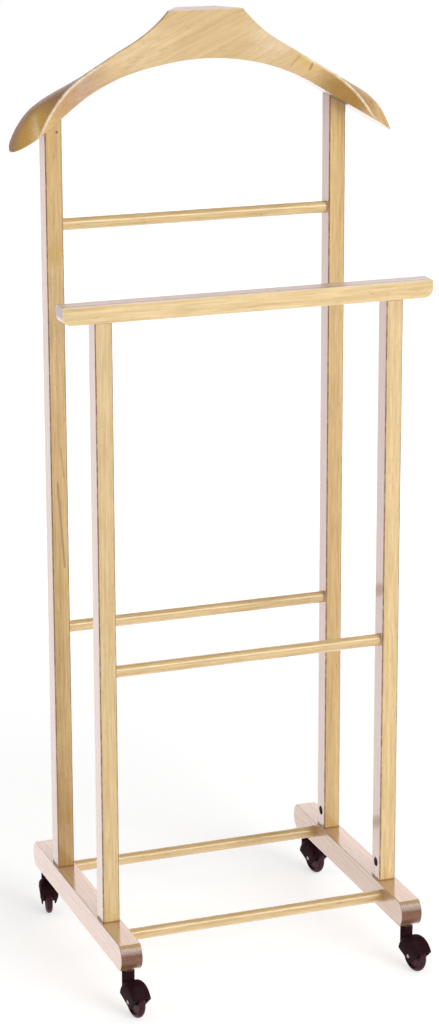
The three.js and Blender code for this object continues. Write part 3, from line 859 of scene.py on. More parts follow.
@dataclass(frozen=True)
class BeechFinish:
    """Blond beech under clear satin lacquer.

    Attributes:
        name: The finish's name.
        grain: The axis along which the grain runs.
        seed: Shifts the grain, so that no two boards are alike.
        tone: Brightness of this board.
        painted_foot_light: Painted light at the lower end of an upright board, as a factor on its tone; under
            1 it is shade.
        edge: Colour painted on the rounded edges, dark as painted shade unless a piece sets a cream highlight.
        painted_edge_share: How strongly that painted colour covers them.
        tilt: Turn of the grain in the board's face, in radians.
        seams: Glued joints across the board.
        knots: Knots in the board, with the painted shade round its drilled hole.
        tone_and_light_patches: Patches of another tone, partly the wood's own and partly painted shade and
            sheen.
        facing_light_paints: Light and shade painted by the way the wood faces.
        rings: How strongly the broad bands show.
        side_figure_and_sheen: How strongly the narrow sides turn pale and pink, partly figure and partly
            painted sheen.
        flecked: How many dark flecks there are, 0 to 1.
        end_lacquer: How much of the lacquer stays on the end grain, 0 to 1.
        lacquer_roughness: Roughness of the lacquer.
        body_gloss: Reflectance of the wood under the lacquer, as the shader's specular level.
        end_from: How far a face turns to the grain's end before it begins to look like end grain.
        end_to: How far it turns before it is all end grain.
        end_gleam_share: How strongly a painted gleam shows on rising end grain.
        underside_lacquer: How much of the lacquer stays on end grain that faces down.
        light: The wood's lightest colour along the grain.
        deep: Its darkest.
        fleck: Colour of the flecks and the glued joints.
        pale: Colour of the narrow sides, their figure with painted sheen.
        end_light: The end grain's lightest colour.
        end_deep: Its darkest, and the knots' colour.
        end_gleam: Colour of the painted gleam on rising end grain.
    """

    name: str
    grain: Axis
    seed: float
    tone: float = 1.0
    painted_foot_light: float = 1.0
    edge: Colour = srgb(112, 66, 42)
    painted_edge_share: float = 0.85
    tilt: float = 0.0
    seams: tuple[Seam, ...] = ()
    knots: tuple[Knot, ...] = ()
    tone_and_light_patches: tuple[ToneAndLightPatch, ...] = ()
    facing_light_paints: tuple[FacingLightPaint, ...] = ()
    rings: float = 0.5
    side_figure_and_sheen: float = 0.4
    flecked: float = 0.5
    end_lacquer: float = 0.15
    lacquer_roughness: float = 0.13
    body_gloss: float = 0.5
    end_from: float = 0.45
    end_to: float = 0.95
    end_gleam_share: float = 0.7
    underside_lacquer: float = 0.0
    light: Colour = srgb(243, 208, 143)
    deep: Colour = srgb(187, 145, 77)
    fleck: Colour = srgb(130, 90, 42)
    pale: Colour = srgb(236, 206, 198)
    end_light: Colour = srgb(160, 112, 84)
    end_deep: Colour = srgb(76, 44, 30)
    end_gleam: Colour = srgb(214, 198, 190)

    # How squarely a side faces front or back, where it stops being a narrow one.
    BROAD = (0.35, 0.8)
    # Rise of the end grain's normal where its painted gleam begins, and where it stops.
    GLEAM_START = (0.22, 0.45)
    GLEAM_END = (0.66, 0.8)
    # Fall of the normal where the end grain is shaded from below, with its tone there.
    SHADED = (-0.75, -0.1, 0.72)
    # Fall of the normal where an underside keeps its lacquer.
    UNDER = (-0.7, -0.4)
    # Heights between which an upright's painted foot light fades into its own tone, in metres.
    FOOT_LIGHT_HEIGHTS = (0.1, 0.8)
    # Least strength of the pale rays and of the painted gleam on end grain, as shares of the full one.
    LEAST_RAY = 0.75
    LEAST_END_GLEAM = 0.25
    FLECK_SHARE = 0.36
    # Roughness of the wood in its dark streaks and in its light ones.
    ROUGHNESS = (0.46, 0.38)
    RELIEF = (0.25, 0.08 * MM)

    def _grain_vector(self, sketch: NodeSketch, place: Socket) -> Socket:
        """Turns object coordinates so that the grain runs along X, shifted by the seed.

        Args:
            sketch: The material's sketch.
            place: The object coordinates.

        Returns:
            The turned coordinates.
        """
        mapping = sketch.add("ShaderNodeMapping")
        turn = {Axis.X: (0.0, self.tilt, 0.0), Axis.Y: (0.0, 0.0, -math.pi / 2),
                Axis.Z: (0.0, math.pi / 2, 0.0)}
        shift = tuple(self.seed * step for step in SEED_SHIFT)
        sketch.fit(mapping, {"Vector": place, "Rotation": turn[self.grain], "Location": shift})
        return mapping.outputs[0]

    def _timber(self, sketch: NodeSketch, normal: Socket, grain: bpy.types.Node) -> Socket:
        """Colours the wood along its grain, with its pale narrow sides, partly painted sheen, and its flecks.

        Args:
            sketch: The material's sketch.
            normal: The surface's normal.
            grain: The node that draws the grain.

        Returns:
            The colour.
        """
        bands, streaks, flecks, _ = grain.outputs
        figure = sketch.plus(sketch.times(bands, self.rings), sketch.times(streaks, 1.0 - self.rings),
                             clamp=True)
        colour = sketch.blend(figure, self.deep, self.light)
        # The narrow sides turn pale pink: partly their own figure, partly painted sheen.
        narrow = sketch.remap(sketch.facing(normal, Axis.Y), *self.BROAD, self.side_figure_and_sheen, 0.0, smoothly=True)
        rays = sketch.remap(streaks, 0.0, 1.0, self.LEAST_RAY, 1.0)
        colour = sketch.blend(sketch.times(narrow, rays), colour, self.pale)
        return sketch.blend(sketch.times(flecks, self.FLECK_SHARE), colour, self.fleck)

    def _end_grain(self, sketch: NodeSketch, rise: Socket, pores: Socket) -> Socket:
        """Colours the wood across its grain, with a painted gleam where it rises and painted shade where it
        faces down.

        Args:
            sketch: The material's sketch.
            rise: How far the normal points up.
            pores: The pores' pattern.

        Returns:
            The colour.
        """
        ends = sketch.blend(pores, self.end_deep, self.end_light)
        rising = sketch.remap(rise, *self.GLEAM_START, 0.0, 1.0, smoothly=True)
        end_gleam = sketch.times(rising, sketch.remap(rise, *self.GLEAM_END, 1.0, 0.0, smoothly=True))
        # The painted gleam, broken up by the pores.
        marks = sketch.remap(pores, 0.0, 1.0, self.LEAST_END_GLEAM * self.end_gleam_share, self.end_gleam_share)
        ends = sketch.blend(sketch.times(end_gleam, marks), ends, self.end_gleam)
        return sketch.toned(ends, sketch.remap(rise, *self.SHADED, 1.0, smoothly=True))

    def _marks(self, sketch: NodeSketch, surface: Surface, colour: object) -> object:
        """Draws the painted facing light, the patches of tone and light, the seams and the knots over the
        colour.

        Args:
            sketch: The material's sketch.
            surface: The surface that is coloured.
            colour: Its colour so far.

        Returns:
            The colour with the marks.
        """
        marks = [(facing_light_paint, facing_light_paint.colour, "MIX") for facing_light_paint in self.facing_light_paints]
        marks += [(tone_and_light_patch, tone_and_light_patch.factor, "MULTIPLY") for tone_and_light_patch in self.tone_and_light_patches]
        marks += [(seam, self.fleck, "MIX") for seam in self.seams]
        marks += [(knot, self.end_deep, "MIX") for knot in self.knots]
        for mark, tone, kind in marks:
            colour = sketch.blend(mark.mask(sketch, surface), colour, tone, kind)
        return colour

    def material(self) -> bpy.types.Material:
        """Builds the finish.

        Returns:
            The material.
        """
        material, sketch, shader = start_material(self.name)
        surface = Surface.of(sketch)
        rise = sketch.split(surface.normal)[Axis.Z.value]
        vector = self._grain_vector(sketch, surface.place)
        grain = sketch.use(FINISHES.grain, Vector=vector, Fleck_Density=self.flecked)
        cut, pores = sketch.use(FINISHES.end_grain, Vector=vector, From=self.end_from, To=self.end_to,
                                Facing=sketch.facing(surface.normal, self.grain)).outputs
        colour = sketch.blend(cut, self._timber(sketch, surface.normal, grain),
                              self._end_grain(sketch, rise, pores))
        colour = self._marks(sketch, surface, colour)
        # Painted light and shade by height, from the foot of an upright up to its own tone.
        tone = sketch.remap(surface.at[Axis.Z], *self.FOOT_LIGHT_HEIGHTS, self.painted_foot_light * self.tone, self.tone)
        # Painted light and shade on the rounded edges, in the edge colour and broken into patches.
        worn = sketch.use(FINISHES.edge_wear_and_light, Vector=surface.place, Edge=edge_value(sketch),
                          Amount=self.painted_edge_share)
        lacquer = sketch.remap(cut, 0.0, 1.0, 1.0, self.end_lacquer)
        under = sketch.remap(rise, *self.UNDER, self.underside_lacquer, 0.0, smoothly=True)
        sketch.fit(shader, {
            "Base Color": sketch.blend(worn.outputs[0], sketch.toned(colour, tone), self.edge),
            "Roughness": sketch.remap(grain.outputs["Streaks"], 0.0, 1.0, *self.ROUGHNESS),
            "Coat Weight": sketch.maths("MAXIMUM", lacquer, under),
            "Coat Roughness": self.lacquer_roughness,
            "Specular IOR Level": self.body_gloss,
        })
        add_bump(sketch, shader, grain.outputs["Height"], *self.RELIEF)
        return material


@dataclass(frozen=True)
class MouldedFinish:
    """Dark moulded plastic, half gloss, with a fine skin and a little dust.

    Attributes:
        name: The finish's name.
        colour: The plastic's own colour.
        worn: Its colour where it is scuffed.
        roughness: Its roughness where it is clean.
        gleam: How much of its own colour shows in its reflections.
        scuffed: How strongly scuffs change its colour.
        edge_worn: How strongly its edges are worn.
        dusty: How much dust lies on it.
        dust: The dust's colour.
        rougher: What scuffs add to its roughness.
        gloss: Its reflectance, as the shader's specular level.
    """

    name: str
    colour: Colour
    worn: Colour
    roughness: float
    gleam: float = 0.05
    scuffed: float = 0.16
    edge_worn: float = 0.6
    dusty: float = 0.05
    dust: Colour = srgb(150, 132, 128)
    rougher: float = 0.14
    gloss: float = 0.005

    def material(self) -> bpy.types.Material:
        """Builds the finish.

        Returns:
            The material.
        """
        material, sketch, shader = start_material(self.name)
        place = sketch.add("ShaderNodeTexCoord").outputs["Object"]
        scuffs, dust, height = sketch.use(FINISHES.scuffs, Vector=place, Stretch=3.0).outputs
        edge = sketch.use(FINISHES.edge_wear_and_light, Vector=place, Edge=edge_value(sketch), Scale=400.0).outputs[0]
        wear = sketch.plus(sketch.times(scuffs, self.scuffed), sketch.times(edge, self.edge_worn), clamp=True)
        colour = sketch.blend(wear, self.colour, self.worn)
        sketch.fit(shader, {
            "Base Color": sketch.blend(sketch.times(dust, self.dusty), colour, self.dust),
            "Roughness": sketch.plus(self.roughness, sketch.times(scuffs, self.rougher), clamp=True),
            "Specular IOR Level": self.gloss,
            "Metallic": self.gleam,
        })
        add_bump(sketch, shader, height, 0.2, 0.03 * MM)
        return material


@dataclass(frozen=True)
class PlatedFinish:
    """Plated steel with fine brushing.

    Attributes:
        name: The finish's name.
        colour: The plating's colour.
        dull: Its colour where it is dull.
        roughness: Its roughness where it is bright.
        rougher: What the brushing adds to it.
    """

    name: str
    colour: Colour
    dull: Colour
    roughness: float
    rougher: float = 0.18

    def material(self) -> bpy.types.Material:
        """Builds the finish.

        Returns:
            The material.
        """
        material, sketch, shader = start_material(self.name)
        place = sketch.add("ShaderNodeTexCoord").outputs["Object"]
        scuffs, dust, height = sketch.use(FINISHES.scuffs, Vector=place, Stretch=12.0).outputs
        sketch.fit(shader, {
            "Base Color": sketch.blend(sketch.maths("MAXIMUM", scuffs, dust), self.colour, self.dull),
            "Metallic": 1.0,
            "Roughness": sketch.plus(self.roughness, sketch.times(scuffs, self.rougher), clamp=True),
        })
        add_bump(sketch, shader, height, 0.15, 0.02 * MM)
        return material


def flatten_shading(blank: bpy.types.Mesh, angle: float = 35.0) -> bpy.types.Mesh:
    """Gives a mesh smooth shading in which its broad faces stay flat up to their rounded edges.

    Args:
        blank: The mesh.
        angle: Edges sharper than this, in degrees, stay crisp.

    Returns:
        A new mesh with settled normals.
    """
    blank.shade_smooth()
    blank.set_sharp_from_angle(angle=math.radians(angle))
    holder = held(blank)
    holder.modifiers.new("settle", "WEIGHTED_NORMAL").keep_sharp = True
    graph = bpy.context.evaluated_depsgraph_get()
    made = bpy.data.meshes.new_from_object(holder.evaluated_get(graph), preserve_all_data_layers=True,
                                           depsgraph=graph)
    bpy.data.objects.remove(holder)
    return made


def show(name: str, blank: bpy.types.Mesh, finish: bpy.types.Material, node: str, body: str = "frame") -> None:
    """Puts a finished mesh in the scene in place of a node.

    Args:
        name: Name of the piece.
        blank: Its mesh, in the row frame.
        finish: Its material.
        node: The node that it stands for.
        body: The body that it rides on.
    """
    made = flatten_shading(blank)
    made.name = name
    made.materials.clear()
    made.materials.append(finish)
    piece = held(made, name)
    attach(piece, body)
    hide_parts(node)
    low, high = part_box(node)
    LOG.info("%s stands for %s, %.0f mm high, %d faces", name, node, (high.z - low.z) / MM,
             len(made.polygons))


def dress(nodes: list[str], finish: bpy.types.Material) -> None:
    """Gives nodes that keep their own mesh a finish.

    Args:
        nodes: Names of the nodes.
        finish: Their material.
    """
    for name in nodes:
        kept = frame["nodes"][name]
        kept.data.materials.clear()
        kept.data.materials.append(finish)
        LOG.info("%s keeps its mesh, in %s", name, finish.name)


def centre_of(node: str) -> Vector:
    """Returns the middle of a node's box."""
    low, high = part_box(node)
    return (low + high) / 2


@dataclass(frozen=True)
class FootRail:
    """A foot rail with bull-nosed ends, drilled from below for its bolts.

    Attributes:
        side: Which side of the stand it lies on.
        seed: Seed of its grain.
        end_radius: Radius of the bull nose.
        end_steps: Number of facets round it.
        softness: Width of the sanded edges.
        counterbore_radius: Radius of the hole for a bolt head.
        counterbore_depth: Its depth.
    """

    side: Side
    seed: float
    end_radius: float = 18 * MM
    end_steps: int = 20
    softness: float = 0.6 * MM
    counterbore_radius: float = 6.3 * MM
    counterbore_depth: float = 6 * MM

    def outline(self, low: Vector, high: Vector) -> list[Point]:
        """Draws the rail's outline across the stand.

        Args:
            low: Low corner of the rail's box.
            high: Its high corner.

        Returns:
            The points in Y and Z, round the front end and then the rear one.
        """
        half = (high.z - low.z) / 2
        middle = (high.z + low.z) / 2
        radius = self.end_radius
        turn = math.degrees(math.asin(half / radius))
        front = arc((low.y + radius, middle), radius, 180 - turn, 180 + turn, self.end_steps)
        rear = arc((high.y - radius, middle), radius, -turn, turn, self.end_steps)
        return front + rear

    def build(self) -> None:
        """Builds the rail in place of its node."""
        node = f"foot_rail_{self.side.label}"
        low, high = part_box(node)
        made = WORKSHOP.prism(self.outline(low, high), Axis.X, low.x, high.x)
        made = WORKSHOP.soften(made, self.softness)
        for end in ("front", "rear"):
            centre = centre_of(f"foot_bolt_{end}_{self.side.label}")
            centre.z = low.z
            cutter = WORKSHOP.drill(Axis.Z, centre, self.counterbore_radius, -MM, self.counterbore_depth)
            made = WORKSHOP.work(made, cutter, Carving.CUT)
        # Painted shade in a dark line along the rails' sanded edges; their narrow faces pale pink, partly
        # figure and partly painted sheen.
        finish = BeechFinish(f"Beech foot rail {self.side.label}", Axis.Y, self.seed, tone=0.98, side_figure_and_sheen=0.35,
                             painted_edge_share=0.6, pale=srgb(234, 186, 160))
        show(f"rail_{self.side.label}_beech", made, finish.material(), node)


@dataclass(frozen=True)
class Upright:
    """An upright board with rounded arrises and a round hole for its barrel nut.

    Attributes:
        side: Which side of the stand it stands on.
        rear: Whether it belongs to the tall rear frame.
        finish: Its wood.
        arris: Radius of its arrises.
        arris_steps: Number of facets across each of them.
        nut_hole_radius: Radius of the hole for the barrel nut.
        nut_hole_depth: Its depth.
        nut_hole_shade: Radius of the painted shade round it, in times its own.
    """

    side: Side
    rear: bool
    finish: BeechFinish
    arris: float = 1.4 * MM
    arris_steps: int = 5
    nut_hole_radius: float = 5.3 * MM
    nut_hole_depth: float = 17.5 * MM
    nut_hole_shade: float = 1.2

    # Lean of a facet's normal over which it belongs to an arris, and not to a side or an end.
    LEAN = 0.1

    def outline(self, low: Vector, high: Vector) -> list[Point]:
        """Draws the board's section.

        Args:
            low: Low corner of the board's box.
            high: Its high corner.

        Returns:
            The points in X and Y, with the four rounded arrises.
        """
        r = self.arris
        corners = ((high.x - r, high.y - r, 0), (low.x + r, high.y - r, 90),
                   (low.x + r, low.y + r, 180), (high.x - r, low.y + r, 270))
        return [p for x, y, turn in corners for p in arc((x, y), r, turn, turn + 90, self.arris_steps)]

    def mitre(self, low: Vector, high: Vector) -> bpy.types.Mesh:
        """Makes the cutter that leaves the board's top parallel to the hanger's underside.

        Args:
            low: Low corner of the board's box.
            high: Its high corner.

        Returns:
            The cutter.
        """
        inner, outer = (low.x, high.x) if self.side is Side.RIGHT else (high.x, low.x)
        slope = HangerShape().underside_slope
        fall = slope * abs(outer - inner)
        reach = 4 * abs(outer - inner)
        step = math.copysign(reach, outer - inner)
        outline = [(inner - step, high.z + slope * reach), (outer + step, high.z - fall - slope * reach),
                   (outer + step, high.z + 3 * reach), (inner - step, high.z + 3 * reach)]
        return WORKSHOP.prism(outline, Axis.Y, low.y - reach, high.y + reach)

    def mark_arrises(self, made: bpy.types.Mesh) -> None:
        """Marks the facets of the rounded arrises in the "edge" attribute."""
        layer = made.attributes.new("edge", "FLOAT", "FACE")
        for face, item in zip(made.polygons, layer.data):
            turned = min(abs(face.normal.x), abs(face.normal.y))
            item.value = 1.0 if turned > self.LEAN and abs(face.normal.z) < self.LEAN else 0.0

    def build(self) -> None:
        """Builds the board in place of its node."""
        spot = f"{'rear' if self.rear else 'front'}_{self.side.label}"
        low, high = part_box(f"upright_{spot}")
        made = WORKSHOP.prism(self.outline(low, high), Axis.Z, low.z, high.z)
        if self.rear:
            made = WORKSHOP.work(made, self.mitre(low, high), Carving.CUT)
        centre = centre_of(f"barrel_nut_{spot}")
        centre.x = low.x if self.side is Side.RIGHT else high.x
        start, stop = sorted((-self.side.value * MM, self.side.value * self.nut_hole_depth))
        cutter = WORKSHOP.drill(Axis.X, centre, self.nut_hole_radius, start, stop)
        made = WORKSHOP.work(made, cutter, Carving.CUT)
        # The arrises carry the finish's dark line of painted shade.
        self.mark_arrises(made)
        # Painted shade in and round the barrel nut's hole.
        hole = Knot(tuple(centre), self.nut_hole_shade * self.nut_hole_radius, core=0.85, share=0.85)
        joint = Seam(low.z, 0.0, 0.0, -1.0, 0.9 * MM, 0.7, Axis.Z)
        finish = replace(self.finish, knots=(*self.finish.knots, hole), seams=(*self.finish.seams, joint))
        show(f"upright_{spot}_beech", made, finish.material(), f"upright_{spot}")


@dataclass(frozen=True)
class TrouserBar:
    """The flat bar on the front frame, square above and rounded at its lower corners.

    Attributes:
        corner: Radius of the lower corners.
        corner_steps: Number of facets round each of them.
        softness: Width of the sanded edges.
        joint: How far the glued joint lies behind its front face.
    """

    corner: float = 10 * MM
    corner_steps: int = 18
    softness: float = 0.7 * MM
    joint: float = 5 * MM

    def build(self) -> None:
        """Builds the bar in place of its node."""
        low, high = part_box("front_bar")
        left = arc((low.x + self.corner, low.z + self.corner), self.corner, 180, 270, self.corner_steps)
        right = arc((high.x - self.corner, low.z + self.corner), self.corner, 270, 360, self.corner_steps)
        outline = [(low.x, high.z), *left, *right, (high.x, high.z)]
        made = WORKSHOP.soften(WORKSHOP.prism(outline, Axis.Y, low.y, high.y), self.softness)
        seam = Seam(low.y + self.joint, 0.0, 0.0, low.z, 1.1 * MM, 0.55, Axis.Y)
        # A cream painted highlight along the bar's sanded edges; its narrow faces pale pink, partly figure and
        # partly painted sheen.
        finish = BeechFinish("Beech trouser bar", Axis.X, 4.3, tone=1.03, side_figure_and_sheen=0.5, seams=(seam,),
                             edge=srgb(255, 238, 208), painted_edge_share=0.6, light=BLOND, deep=BLOND_DEEP,
                             end_lacquer=0.9, end_light=srgb(112, 80, 74), end_deep=srgb(72, 46, 44),
                             end_gleam_share=0.0)
        show("trouser_bar_beech", made, finish.material(), "front_bar")


class TurnedRods:
    """The round rods between the uprights and between the rails, all from one Geometry Nodes tree."""

    NODES = ("rod_rear_upper", "rod_rear_lower", "rod_front_lower", "rod_base_rear", "rod_base_front")
    SIDES = 64

    def __init__(self) -> None:
        """Builds the tree that turns a rod between two points."""
        self.tree = bpy.data.node_groups.new("Turned rod", "GeometryNodeTree")
        inputs = {"Geometry": "Geometry", "Start": "Vector", "End": "Vector", "Radius": "Float",
                  "Sides": "Int", "Finish": "Material"}
        self.inputs = {
            label: self.tree.interface.new_socket(name=label, in_out="INPUT",
                                                  socket_type=f"NodeSocket{kind}").identifier
            for label, kind in inputs.items()
        }
        self.tree.interface.new_socket(name="Geometry", in_out="OUTPUT", socket_type="NodeSocketGeometry")
        sketch = NodeSketch(self.tree)
        given = sketch.add("NodeGroupInput").outputs
        line = sketch.add("GeometryNodeCurvePrimitiveLine")
        circle = sketch.add("GeometryNodeCurvePrimitiveCircle")
        sweep = sketch.add("GeometryNodeCurveToMesh")
        real = sketch.add("GeometryNodeRealizeInstances")
        paint = sketch.add("GeometryNodeSetMaterial")
        sketch.fit(line, {"Start": given["Start"], "End": given["End"]})
        sketch.fit(circle, {"Resolution": given["Sides"], "Radius": given["Radius"]})
        sketch.fit(sweep, {"Curve": line.outputs["Curve"], "Profile Curve": circle.outputs["Curve"],
                           "Fill Caps": True})
        sketch.fit(real, {"Geometry": sweep.outputs["Mesh"]})
        sketch.fit(paint, {"Geometry": real.outputs[0], "Material": given["Finish"]})
        sketch.add("NodeGroupOutput", paint.outputs[0])

    def turn(self, start: Vector, end: Vector, radius: float, finish: bpy.types.Material) -> bpy.types.Mesh:
        """Runs the tree once.

        Args:
            start: One end of the rod.
            end: The other end.
            radius: Its radius.
            finish: Its material.

        Returns:
            The rod as a plain mesh.
        """
        holder = held(bpy.data.meshes.new("rod_holder"))
        modifier = holder.modifiers.new("turn", "NODES")
        modifier.node_group = self.tree
        values = {"Start": tuple(start), "End": tuple(end), "Radius": radius, "Sides": self.SIDES,
                  "Finish": finish}
        for label, value in values.items():
            modifier[self.inputs[label]] = value
        graph = bpy.context.evaluated_depsgraph_get()
        made = bpy.data.meshes.new_from_object(holder.evaluated_get(graph))
        holder.modifiers.remove(modifier)
        bpy.data.objects.remove(holder)
        return made

    def build(self) -> None:
        """Builds every rod in place of its node."""
        for count, node in enumerate(self.NODES):
            low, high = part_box(node)
            middle = centre_of(node)
            material = BeechFinish(f"Beech {node.replace('_', ' ')}", Axis.X, 6.1 + count, tone=1.05,
                                   light=BLOND, deep=BLOND_DEEP, lacquer_roughness=0.08,
                                   side_figure_and_sheen=0.0).material()
            start, end = (Vector((x, middle.y, middle.z)) for x in (low.x, high.x))
            show(f"{node}_turned", self.turn(start, end, (high.z - low.z) / 2, material), material, node)


@dataclass(frozen=True)
class HangerShape:
    """The rule of the carved hanger, with heights as functions of the distance from its middle.

    Places are distances from the middle. Depths are counted from the middle of the rear uprights, with the
    front negative.

    Attributes:
        top, plateau: Height and half width of the neck's flat top.
        half_length, tip_back: Where the tips are, and how far they lie in front.
        neck_height, neck_front, neck_rear: Height of the neck over the underside, and where its faces lie.
        arch_radius, half_chord: Radius of the underside's arc, and where it runs into its tangent.
        slope, rise: Slope of the shoulder line, and its height over the underside where the hollow ends.
        hollow_end: Where the hollow beside the neck runs into the shoulder line.
        ridge_start, ridge_end: Where the front ridge leaves the shoulder line and meets the underside.
        tip_start, tip_lead: Where the outline rounds off, and how far past the uprights the rear face does.
        wing_start, wing_lead: Where the front face reaches forward, and how far past the ridge it goes on.
        wing_front, wing_rear: How far the wings' faces lie in front and behind.
        waist_front, waist_end: How far the waist's front face lies in front, and where it is reached.
        waist_start: Where the rear face begins to swell.
        dome_start, dome_end: Where the bevelled top turns into a dome.
        crest_share, wing_crest_share: How far over the top its highest point lies, at the neck and in a wing.
        fall_power, wing_fall_power: How late the top falls behind that point.
        bevel_drop, wing_drop, drop_share: How far it falls, and the most of a section that this takes up.
        steepest: Share of its radius up to which a bend is followed.
        shine_start, shine_end, shine_fade: Where the ridge's painted highlight begins and ends, and its fade.
        seat, seat_half: Middle and half width of an upright.
        land: Least height of the front face.
    """

    top: float = 1089.5 * MM
    half_length: float = 225.5 * MM
    plateau: float = 44 * MM
    neck_height: float = 53.5 * MM
    arch_radius: float = 265 * MM
    half_chord: float = 140 * MM
    slope: float = math.radians(30.5)
    rise: float = 31.5 * MM
    hollow_end: float = 88 * MM
    ridge_start: float = 145 * MM
    ridge_end: float = 198 * MM
    tip_start: float = 190 * MM
    tip_back: float = 32 * MM
    wing_start: float = 130 * MM
    wing_lead: float = 14 * MM
    neck_front: float = 40 * MM
    neck_rear: float = 4 * MM
    waist_front: float = 31 * MM
    waist_start: float = 60 * MM
    waist_end: float = 105 * MM
    dome_start: float = 135 * MM
    dome_end: float = 185 * MM
    crest_share: float = 0.1
    wing_crest_share: float = 0.46
    fall_power: float = 1.2
    wing_fall_power: float = 2.0
    drop_share: float = 0.8
    steepest: float = 0.97
    shine_start: float = 105 * MM
    shine_end: float = 194 * MM
    shine_fade: float = 10 * MM
    tip_lead: float = 2 * MM
    wing_front: float = 55 * MM
    wing_rear: float = 11.5 * MM
    bevel_drop: float = 30 * MM
    wing_drop: float = 16 * MM
    seat: float = 170 * MM
    seat_half: float = 10 * MM
    land: float = 1.5 * MM

    # Reach of the rounds below, at the ridge, of what is added where the ridge carries its painted highlight,
    # and at the rear, in times the softness.
    FOOT_ROUND = 0.5
    RIDGE_ROUND = 0.85
    SHINING_ROUND = 0.35
    REAR_ROUND = 1.0
    # How far the next points of the faces and of the top stay from a corner, in times the softness.
    FACE_CLEAR = 3.0
    TOP_CLEAR = 2.6
    # Share of the way over the top that a round reaches at most, and how often it is halved to find its end.
    MOST_ROUND = 0.4
    HALVINGS = 16

    @property
    def arch_centre(self) -> float:
        """Height of the centre of the arch."""
        return self.top - self.neck_height - self.arch_radius

    @property
    def underside_slope(self) -> float:
        """Slope of the straight part of the underside."""
        return self.half_chord / math.sqrt(self.arch_radius ** 2 - self.half_chord ** 2)

    def underside(self, distance: float) -> float:
        """Returns the height of the underside: an arc, then its tangent."""
        on_arc = min(distance, self.half_chord)
        height = self.arch_centre + math.sqrt(self.arch_radius ** 2 - on_arc ** 2)
        return height - self.underside_slope * (distance - on_arc)

    def shoulder(self, distance: float) -> float:
        """Returns the height of the straight shoulder line."""
        start = self.underside(self.hollow_end) + self.rise
        return start - math.tan(self.slope) * (distance - self.hollow_end)

    def bend(self, start: float, through: float, height: float, distance: float) -> float:
        """Follows a circle that leaves the shoulder line at start and passes through a point.

        Args:
            start: Distance where it touches the shoulder line.
            through: Distance of the point that it passes through.
            height: Height of that point.
            distance: Where the height is asked for.

        Returns:
            The height of the circle there.
        """
        run = through - start
        drop = height - self.shoulder(start)
        sine, cosine = math.sin(self.slope), math.cos(self.slope)
        radius = (run * run + drop * drop) / (2 * (run * sine + drop * cosine))
        centre = start + radius * sine
        limit = self.steepest * abs(radius) if distance < centre and radius > 0 else abs(radius)
        reach = math.sqrt(radius ** 2 - min(abs(distance - centre), limit) ** 2)
        middle = self.shoulder(start) + radius * cosine
        return middle - reach if radius > 0 else middle + reach

    def crest(self, distance: float) -> float:
        """Returns the height of the hanger's outline."""
        if distance < self.hollow_end:
            return self.bend(self.hollow_end, self.plateau, self.top, distance)
        if distance < self.tip_start:
            return self.shoulder(distance)
        return self.bend(self.tip_start, self.half_length, self.underside(self.half_length), distance)

    def ridge(self, distance: float) -> float:
        """Returns the height of the edge between the front face and the top."""
        height = self.crest(distance)
        if distance > self.ridge_start:
            foot = self.underside(self.ridge_end)
            height = min(height, self.bend(self.ridge_start, self.ridge_end, foot, distance))
        return max(height, self.underside(distance) + self.land)

    def rounding(self, distance: float, start: float) -> float:
        """Returns how much of the depth is left as the plan rounds off to the tip."""
        share = (distance - start) / (self.half_length - start)
        return 1.0 if share <= 0 else math.sqrt(max(1 - share * share, 0.0))

    def front(self, distance: float) -> float:
        """Returns the depth of the front face."""
        waist = (self.neck_front - self.waist_front) * smooth(distance, self.plateau, self.waist_end)
        end = self.ridge_end + self.wing_lead
        wing = (self.wing_front - self.waist_front) * smooth(distance, self.wing_start, end)
        edge = -self.neck_front + waist - wing
        return -self.tip_back + (edge + self.tip_back) * self.rounding(distance, self.ridge_end)

    def rear(self, distance: float) -> float:
        """Returns the depth of the rear face."""
        swell = (self.wing_rear + self.neck_rear) * smooth(distance, self.waist_start, self.ridge_start)
        edge = swell - self.neck_rear
        start = self.seat + self.seat_half + self.tip_lead
        return -self.tip_back + (edge + self.tip_back) * self.rounding(distance, start)

    def section(self, distance: float, steps: int, softness: float) -> tuple[list[Point], list[float]]:
        """Draws the section at a distance from the middle.

        Args:
            distance: The distance.
            steps: Number of points over the top.
            softness: Reach of the rounds at its four corners.

        Returns:
            The points, from the front lower edge round to the rear one, and how much painted highlight each
            carries along the ridge.
        """
        front, rear, floor = self.front(distance), self.rear(distance), self.underside(distance)
        ridge = self.ridge(distance)
        crest = max(self.crest(distance), ridge)
        wing = smooth(distance, self.dome_start, self.dome_end)
        share_of_crest = self.crest_share + (self.wing_crest_share - self.crest_share) * wing
        power = self.fall_power + (self.wing_fall_power - self.fall_power) * wing
        outward = smooth(distance, self.plateau, self.seat)
        wanted = self.bevel_drop + (self.wing_drop - self.bevel_drop) * outward
        drop = min(wanted, max(crest - floor - 2 * self.land, 0.0) * self.drop_share)

        def over(share: float) -> Point:
            """Returns the point at a share of the way over the top."""
            rise = math.sin(min(share / share_of_crest, 1.0) * math.pi / 2)
            fall = max((share - share_of_crest) / (1 - share_of_crest), 0.0) ** power
            return front + share * (rear - front), ridge + (crest - ridge) * rise - drop * fall

        def clear_of(corner: Point, inside: float, outside: float) -> float:
            """Finds where the top leaves the round of a corner.

            Args:
                corner: The corner.
                inside: A share of the way over the top that lies within the round.
                outside: A share that lies out of it.

            Returns:
                The share where the top leaves the round.
            """
            for _ in range(self.HALVINGS):
                middle = (inside + outside) / 2
                if math.dist(over(middle), corner) > self.TOP_CLEAR * softness:
                    outside = middle
                else:
                    inside = middle
            return outside

        first, last = over(0.0), over(1.0)
        start = clear_of(first, 0.0, self.MOST_ROUND)
        end = clear_of(last, 1.0, 1.0 - self.MOST_ROUND)
        top = [over(start + (end - start) * i / steps) for i in range(steps + 1)]
